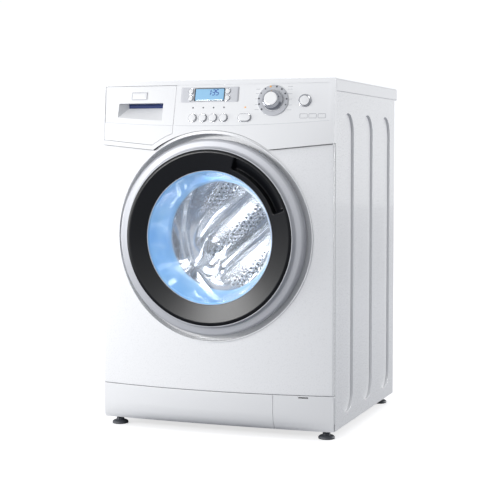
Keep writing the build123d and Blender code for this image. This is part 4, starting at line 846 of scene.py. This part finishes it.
# %% [markdown]
# Three lifters stand in from the wall and carry the laundry up. Each is a pressed hump, written in its own
# frame, u across and v along the drum, and then turned about the axis to its place. Its crest sways a little.

# %% Lifters
lifter_half, lifter_height, lifter_drift = 37.0, 52.0, 9.0
lifter_start, lifter_length = 90, 265
u = np.linspace(-1, 1, 33)[:, None]
v = np.linspace(0, 1, 49)[None, :]
hump = 0.5 + 0.5 * cos(pi * u)
ends = ease(v, 0.0, 0.2) * (1 - ease(v, 0.8, 1.0))
rise = lifter_height * hump**0.8 * ends * (0.86 + 0.14 * cos(4 * pi * v))
sideways = lifter_half * u + lifter_drift * sin(2 * pi * v) * hump
out = np.sqrt((drum_radius - 2) ** 2 - (lifter_half * u) ** 2) - rise
for number in range(3):
    mid = radians(90 + 120 * number)
    x = out * cos(mid) - sideways * sin(mid)
    z = out * sin(mid) + sideways * cos(mid)
    grid = place(x, lifter_start + lifter_length * v, door_z + z)
    inward = (-cos(mid), 0, -sin(mid))
    lifter = sheet_piece(f"drum_lifter_{number + 1}", grid, joined=0, look=inward)
    thicken(lifter, 0.001)
    dress(lifter, "stainless", "drum", *(["drum_lifters"] if number == 0 else []))

# %% [markdown]
# The controls sit on the leaning panel. Each is an outline in the panel's tangent plane, carried through a
# rounded profile: out to the edge of the cap, over it and in to the middle. Real buttons are slightly domed,
# which gives them their soft highlight.

# %% Caps and rings on the panel
def capsule(width, height, steps=48):
    """Outline of a slot with round ends, or a circle, as u and v; its corners are spread evenly by angle."""
    angle = np.linspace(0, 2 * pi, steps, endpoint=False) + pi / steps
    shift = (width - height) / 2
    return np.sign(cos(angle)) * shift + height / 2 * cos(angle), height / 2 * sin(angle)


def cap(name, x0, z0, outline, levels, finish_name, body, *replaced):
    """Piece with an outline in the panel's tangent plane; levels are (share of the outline, height) pairs."""
    levels = np.array(levels, float)
    u = levels[:, :1] * outline[0]
    v = levels[:, :1] * outline[1]
    piece = sheet_piece(name, on_panel(x0, z0, u, v, levels[:, 1:] + 0 * u))
    dress(piece, finish_name, body, *replaced)


def band(name, x0, z0, inner, outer, low, high, finish_name, body="cabinet"):
    """Flat rounded band between two outlines, from one height to another, such as a trim ring."""
    share = np.array([0.0, 0.0, 0.12, 0.3, 0.7, 0.88, 1.0, 1.0])[:, None]
    top = np.array([0.0, 0.75, 0.95, 1.0, 1.0, 0.95, 0.75, 0.0])[:, None]
    u = outer[0] * (1 - share) + inner[0] * share
    v = outer[1] * (1 - share) + inner[1] * share
    height = low + (high - low) * top + 0 * u
    piece = sheet_piece(name, on_panel(x0, z0, u, v, height), joined=2)
    dress(piece, finish_name, body)


def domed(reach, dome):
    """Levels of a domed cap: closed foot, straight side, rounded edge, shallow dome."""
    edge, round_off, foot = 0.09, 1.2, -3.0
    turn_in = np.linspace(0, pi / 2, 6)
    rim = [(1 - edge + edge * cos(t), reach - round_off + round_off * sin(t)) for t in turn_in]
    inside = [(s, reach + dome * ((1 - edge) ** 2 - s**2)) for s in (0.75, 0.5, 0.25, 0.0)]
    return [(0.0, foot), (1.0, foot), (1.0, 0.0), *rim, *inside]


def button(node, x0, z0, width, height, reach, dome, rim, proud):
    """Domed cap of a button, and the fixed ring round it, which is rim wider over all and stands proud."""
    gap = 0.9
    cap(node + "_cap", x0, z0, capsule(width, height), domed(reach, dome), "white_plastic", node, node)
    inner, outer = capsule(width + gap, height + gap), capsule(width + rim, height + rim)
    band(node + "_ring", x0, z0, inner, outer, -0.2, proud, "trim_chrome")


# %% Buttons
for x0, side in ((-58.5, "left"), (36.0, "right")):
    for z0, row in ((822.5, "upper"), (806.2, "lower")):
        button(f"{row}_{side}_key", x0, z0, 12, 12, reach=3.2, dome=0.3, rim=3, proud=1.6)
button_z = 759.0
for number, x0 in enumerate((-49.2, -22.8, 3.4, 29.8), 1):
    button(f"option_button_{number}", x0, button_z, 19, 17, reach=4.6, dome=0.4, rim=3.5, proud=2.0)
button("start_button", 82.8, button_z, 30, 17, reach=4.6, dome=0.4, rim=3.5, proud=2.0)
button("power_button", 227.0, 797.7, 23, 23, reach=5.1, dome=0.4, rim=7, proud=3.0)

# %% Knob and dial
knob = (149.9, 798.8)
round_one = capsule(2, 2, 96)
skirt = [(0, 2.5), (24.4, 2.5), (24.4, 5.5), (22.2, 7.5), (19.6, 10.5), (18.0, 15), (16.6, 19.5), (0, 19.5)]
skirt = rounded(skirt, [0, 0.5, 1.2, 2, 2, 2, 0.8, 0], steps=6, closed=False)
cap("knob_body", *knob, round_one, skirt, "trim_chrome", "program_knob", "program_knob")
top = [(0, 19.3), (15.8, 19.3), (15.8, 21.5), (13.5, 21.9), (0, 21.9)]
top = rounded(top, [0, 0.3, 0.8, 1.0, 0], steps=6, closed=False)
cap("knob_cap", *knob, round_one, top, "knob_plastic", "program_knob")
band("dial_ring", *knob, capsule(51, 51, 96), capsule(74.6, 74.6, 96), 1.6, 2.3, "dial_grey")

# %% [markdown]
# The rest of the panel is thin trim: the display's plate, lamps, dots and leader lines. All are raised a
# little, because a print that is only a colour change disappears from the side. Words and marks of a maker
# are left off, and their places stay bare. The display shows plain digits built from small bars.

# %% Thin trim of the panel
def round_box(width, height, radius):
    """Outline of a rectangle with round corners, as u and v, going round anticlockwise."""
    t = np.linspace(0, pi / 2, 8)
    turns = np.concatenate([t, t + pi / 2, t + pi, t + 3 * pi / 2])
    across = np.repeat([1, -1, -1, 1], len(t)) * (width / 2 - radius)
    up = np.repeat([1, 1, -1, -1], len(t)) * (height / 2 - radius)
    return across + radius * cos(turns), up + radius * sin(turns)


def marks(name, spots, outlines, low, high, finish_name):
    """Many small raised marks in one mesh; each is an outline at a spot, closed below and softly domed."""
    shares = np.array([0.0, 1.0, 1.0, 0.9, 0.6, 0.0])[:, None]
    heights = low + (high - low) * np.array([0.0, 0.0, 0.8, 0.95, 1.0, 1.0])[:, None]
    patches = [
        on_panel(x, z, shares * u, shares * v, heights + 0 * u) for (x, z), (u, v) in zip(spots, outlines)
    ]
    dress(sheet_piece(name, np.array(patches)), finish_name, "cabinet")


# %% Display
display = (-10.3, 815.0)
frame_outline, plate_hole = round_box(77, 32, 1.5), round_box(76, 31, 1.5)
band("display_plate", *display, plate_hole, round_box(148, 37, 3), -0.9, 0.6, "plate_grey")
band("display_frame", *display, round_box(73, 28.5, 1), frame_outline, -0.9, 0.9, "black_plastic")
screen = [(0, -0.9), (1, -0.9), (1, 0.2), (0.98, 0.35), (0.6, 0.4), (0, 0.4)]
cap("display_screen", *display, round_box(75, 30, 1.5), screen, "display_blue", "cabinet")

# %% Digits of the display
bars_of = {"1": "bc", "3": "abgcd", "5": "afgcd"}
bar_places = {
    "a": (0, 2, 0), "b": (1, 1, 1), "c": (1, -1, 1), "d": (0, -2, 0), "f": (-1, 1, 1), "g": (0, 0, 0),
}
half_digit, bar_share, bar_width, lean = 6.4, 0.9, 1.95, 0.14
time_x, time_z = display[0] - 1, display[1] + 5
spots, outlines = [], []
for digit, at in (("1", 0.0), ("3", 11.0), ("5", 20.0)):
    for bar in bars_of[digit]:
        u, v, upright = bar_places[bar]
        u, v = u * half_digit / 2, v * half_digit / 2
        along, across = capsule(half_digit * bar_share, bar_width, 16)
        u_outline, v_outline = (across, along) if upright else (along, across)
        spots.append((time_x + at + u + lean * v, time_z + v))
        outlines.append((u_outline + lean * v_outline * upright, v_outline))
for v in (-2.2, 2.2):
    spots.append((time_x + 5.6 + lean * v, time_z + v))
    outlines.append(capsule(1.6, 1.6, 16))
marks("display_digits", spots, outlines, 0.3, 0.6, "digit_blue")

# %% Lamps, dots and leader lines
lamp_dot, dial_dot = capsule(3.6, 3.6, 24), capsule(4.2, 4.2, 24)
marks("option_lamps", [(x, 784.0) for x in (-50.2, -23.6, 2.7, 29.2)], [lamp_dot] * 4, -0.2, 0.5, "dot_grey")
marks("start_lamp", [(82.7, 783.5)], [capsule(3.8, 3.8, 24)], -0.2, 0.5, "lamp_orange")
dial_dots = [
    (124, 777.8), (116.8, 789.9), (115.6, 803.2), (120.2, 815.9), (129.9, 825.9), (157.6, 831),
    (170.1, 824.8), (179.2, 814.3), (183.4, 801.6), (181.9, 787.8), (174.6, 776.4),
]
marks("dial_dots", dial_dots, [dial_dot] * len(dial_dots), 1.9, 2.7, "dot_grey")
marks("dial_lamp", [(142.7, 831.2)], [dial_dot], 1.9, 2.8, "lamp_orange")
middles, lengths = [], []
for x, z in dial_dots:
    near, far = (min(x - 3, 116), 106) if x < knob[0] else (max(x + 3, 184), 196)
    middles.append(((near + far) / 2, z))
    lengths.append(capsule(abs(near - far), 0.55, 16))
marks("leader_lines", middles, lengths, -0.1, 0.15, "printed_grey")

# %% Empty boxes and the bare plate of the drawer
box_inner, box_outer = round_box(17.2, 9.4, 1.5), round_box(18.4, 10.6, 2.1)
for number, x0 in enumerate((225.5, 246.8, 268.4), 1):
    band(f"badge_{number}", x0, 762, box_inner, box_outer, -0.2, 0.25, "printed_grey")
plate_place = (-195.5, 814)
plate_outline = round_box(38.5, 15.5, 2)
plate = [(0, -0.3), (1, -0.3), (1, 0.9), (0.97, 1.1), (0.5, 1.1), (0, 1.1)]
cap("bare_plate", *plate_place, plate_outline, plate, "white_plastic", "drawer")
rim_outline = round_box(42, 19, 2.6)
band("bare_plate_rim", *plate_place, plate_outline, rim_outline, -0.3, 1.4, "silver_plastic", "drawer")

# %% [markdown]
# The panel's upper part is sunk by a millimetre and a half, and a fine shadow marks its foot, a flat arc that
# is lower in the middle. That shadow is painted here: a thin raised grey line stands for it, so that it shows
# in even light. The drawer carries its own length, so that the line parts where the drawer does.

# %% Painted shadow line at the foot of the field
crease_side, crease_middle, crease_reach = 751.0, 740.0, 288.0
crease_rise = crease_side - crease_middle
crease_radius = (crease_reach**2 + crease_rise**2) / (2 * crease_rise)


def painted_crease_shadow(name, left, right, body):
    """Painted shadow: a fine grey line at the foot of the sunk field, from one x to another; its height there
    is a circle.
    """
    x = np.r_[left, np.linspace(left, right, 60), right][:, None]
    thick = np.r_[0.0, np.ones(60), 0.0][:, None]
    middle = crease_middle + crease_radius - np.sqrt(crease_radius**2 - x**2) + 0.6
    z = middle + thick * np.array([-0.45, -0.45, 0.45, 0.45])
    lift = thick * np.array([-0.1, 0.2, 0.2, -0.1])
    # painted shadow: this grey strip stands for the shade at the foot of the sunk field
    line = sheet_piece(name, place(x, panel_face(x, z) + field_sink - lift, z))
    dress(line, "plate_grey", body)


painted_crease_shadow("drawer_painted_crease_shadow", -288.5, -99.4, "drawer")
painted_crease_shadow("painted_crease_shadow", -96.4, 285.5, "cabinet")

# %% [markdown]
# The picture is a studio cut-out: white all round, a bright left front, a shadier right side, and dark lower
# edges on everything glossy. A white sky over a grey floor gives almost all of it: what leans up sees the sky
# and what leans down sees the floor. Seen directly the floor is white, so it doesn't end in a horizon.

# %% Studio floor
floor_material = bpy.data.materials.new("studio_floor")
floor_material.use_nodes = True
tree = floor_material.node_tree
tree.nodes.remove(tree.nodes["Principled BSDF"])
dull = add_node(tree, "BsdfDiffuse", "BSDF", {"Color": (0.26, 0.27, 0.30, 1)})
paper = add_node(tree, "BsdfDiffuse", "BSDF", {"Color": (0.62, 0.62, 0.63, 1)})
glow = add_node(tree, "Emission", "Emission", {"Color": (1, 1, 1, 1), "Strength": 0.68})
white = add_node(tree, "AddShader", "Shader", {0: paper, 1: glow})
seen = add_node(tree, "LightPath", "Is Camera Ray")
surface = add_node(tree, "MixShader", "Shader", {"Fac": seen, 1: dull, 2: white})
fill(tree, tree.nodes["Material Output"], {"Surface": surface})
side = np.linspace(-14, 14, 29)
grid = np.stack(np.broadcast_arrays(side[:, None], side, -0.0004), axis=-1)
floor = sheet_piece("studio_floor", grid, joined=0, look=(0, 0, 1))
floor.data.materials.append(floor_material)

# %% [markdown]
# Four lamps do the rest. A big one at the left and a wide one in front make the fall of light across the
# bowed front and the streaks on the ring, one behind on the right lights the side, and a small one stands for
# the light that real glass lets into the drum.

# %% Lamps
def lamp(name, spot, target, size, power):
    """Rectangular area lamp at a spot, turned to a target; all in metres and watts."""
    data = bpy.data.lights.new(name, "AREA")
    data.shape = "RECTANGLE"
    data.size, data.size_y = size
    data.energy = power
    source = bpy.data.objects.new(name, data)
    source.location = spot
    source.rotation_euler = (Vector(target) - Vector(spot)).to_track_quat("-Z", "Y").to_euler()
    bpy.context.scene.collection.objects.link(source)
    return source


lamp("key_left", (-3.7, -1.9, 0.6), (0, 0, 0.45), (2.0, 1.4), 68)
lamp("box_front", (-1.5, -3.1, 1.2), (0, -0.3, 0.45), (1.0, 0.40), 52)
lamp("side_fill", (3.0, 2.6, 0.8), (0.3, 0, 0.45), (1.2, 1.2), 82)
drum_spot = (0.05, (front + 90) * 0.001, 0.66)
drum_light = lamp("drum_light", drum_spot, (-0.05, 0.10, 0.40), (0.24, 0.12), 1.25)
drum_light.visible_camera = False
print("lamp inside the drum at", drum_spot)

# %% Sky
sky_strength, seen_strength = 0.645, 1.07
world = bpy.data.worlds.new("studio_sky")
bpy.context.scene.world = world
world.use_nodes = True
tree = world.node_tree
seen = add_node(tree, "LightPath", "Is Camera Ray")
fill(tree, tree.nodes["Background"], {
    "Color": (0.955, 0.972, 1.0, 1),
    "Strength": ramp(tree, seen, new=(sky_strength, seen_strength)),
})
bpy.context.scene.view_settings.view_transform = "Standard"
print("studio ready")
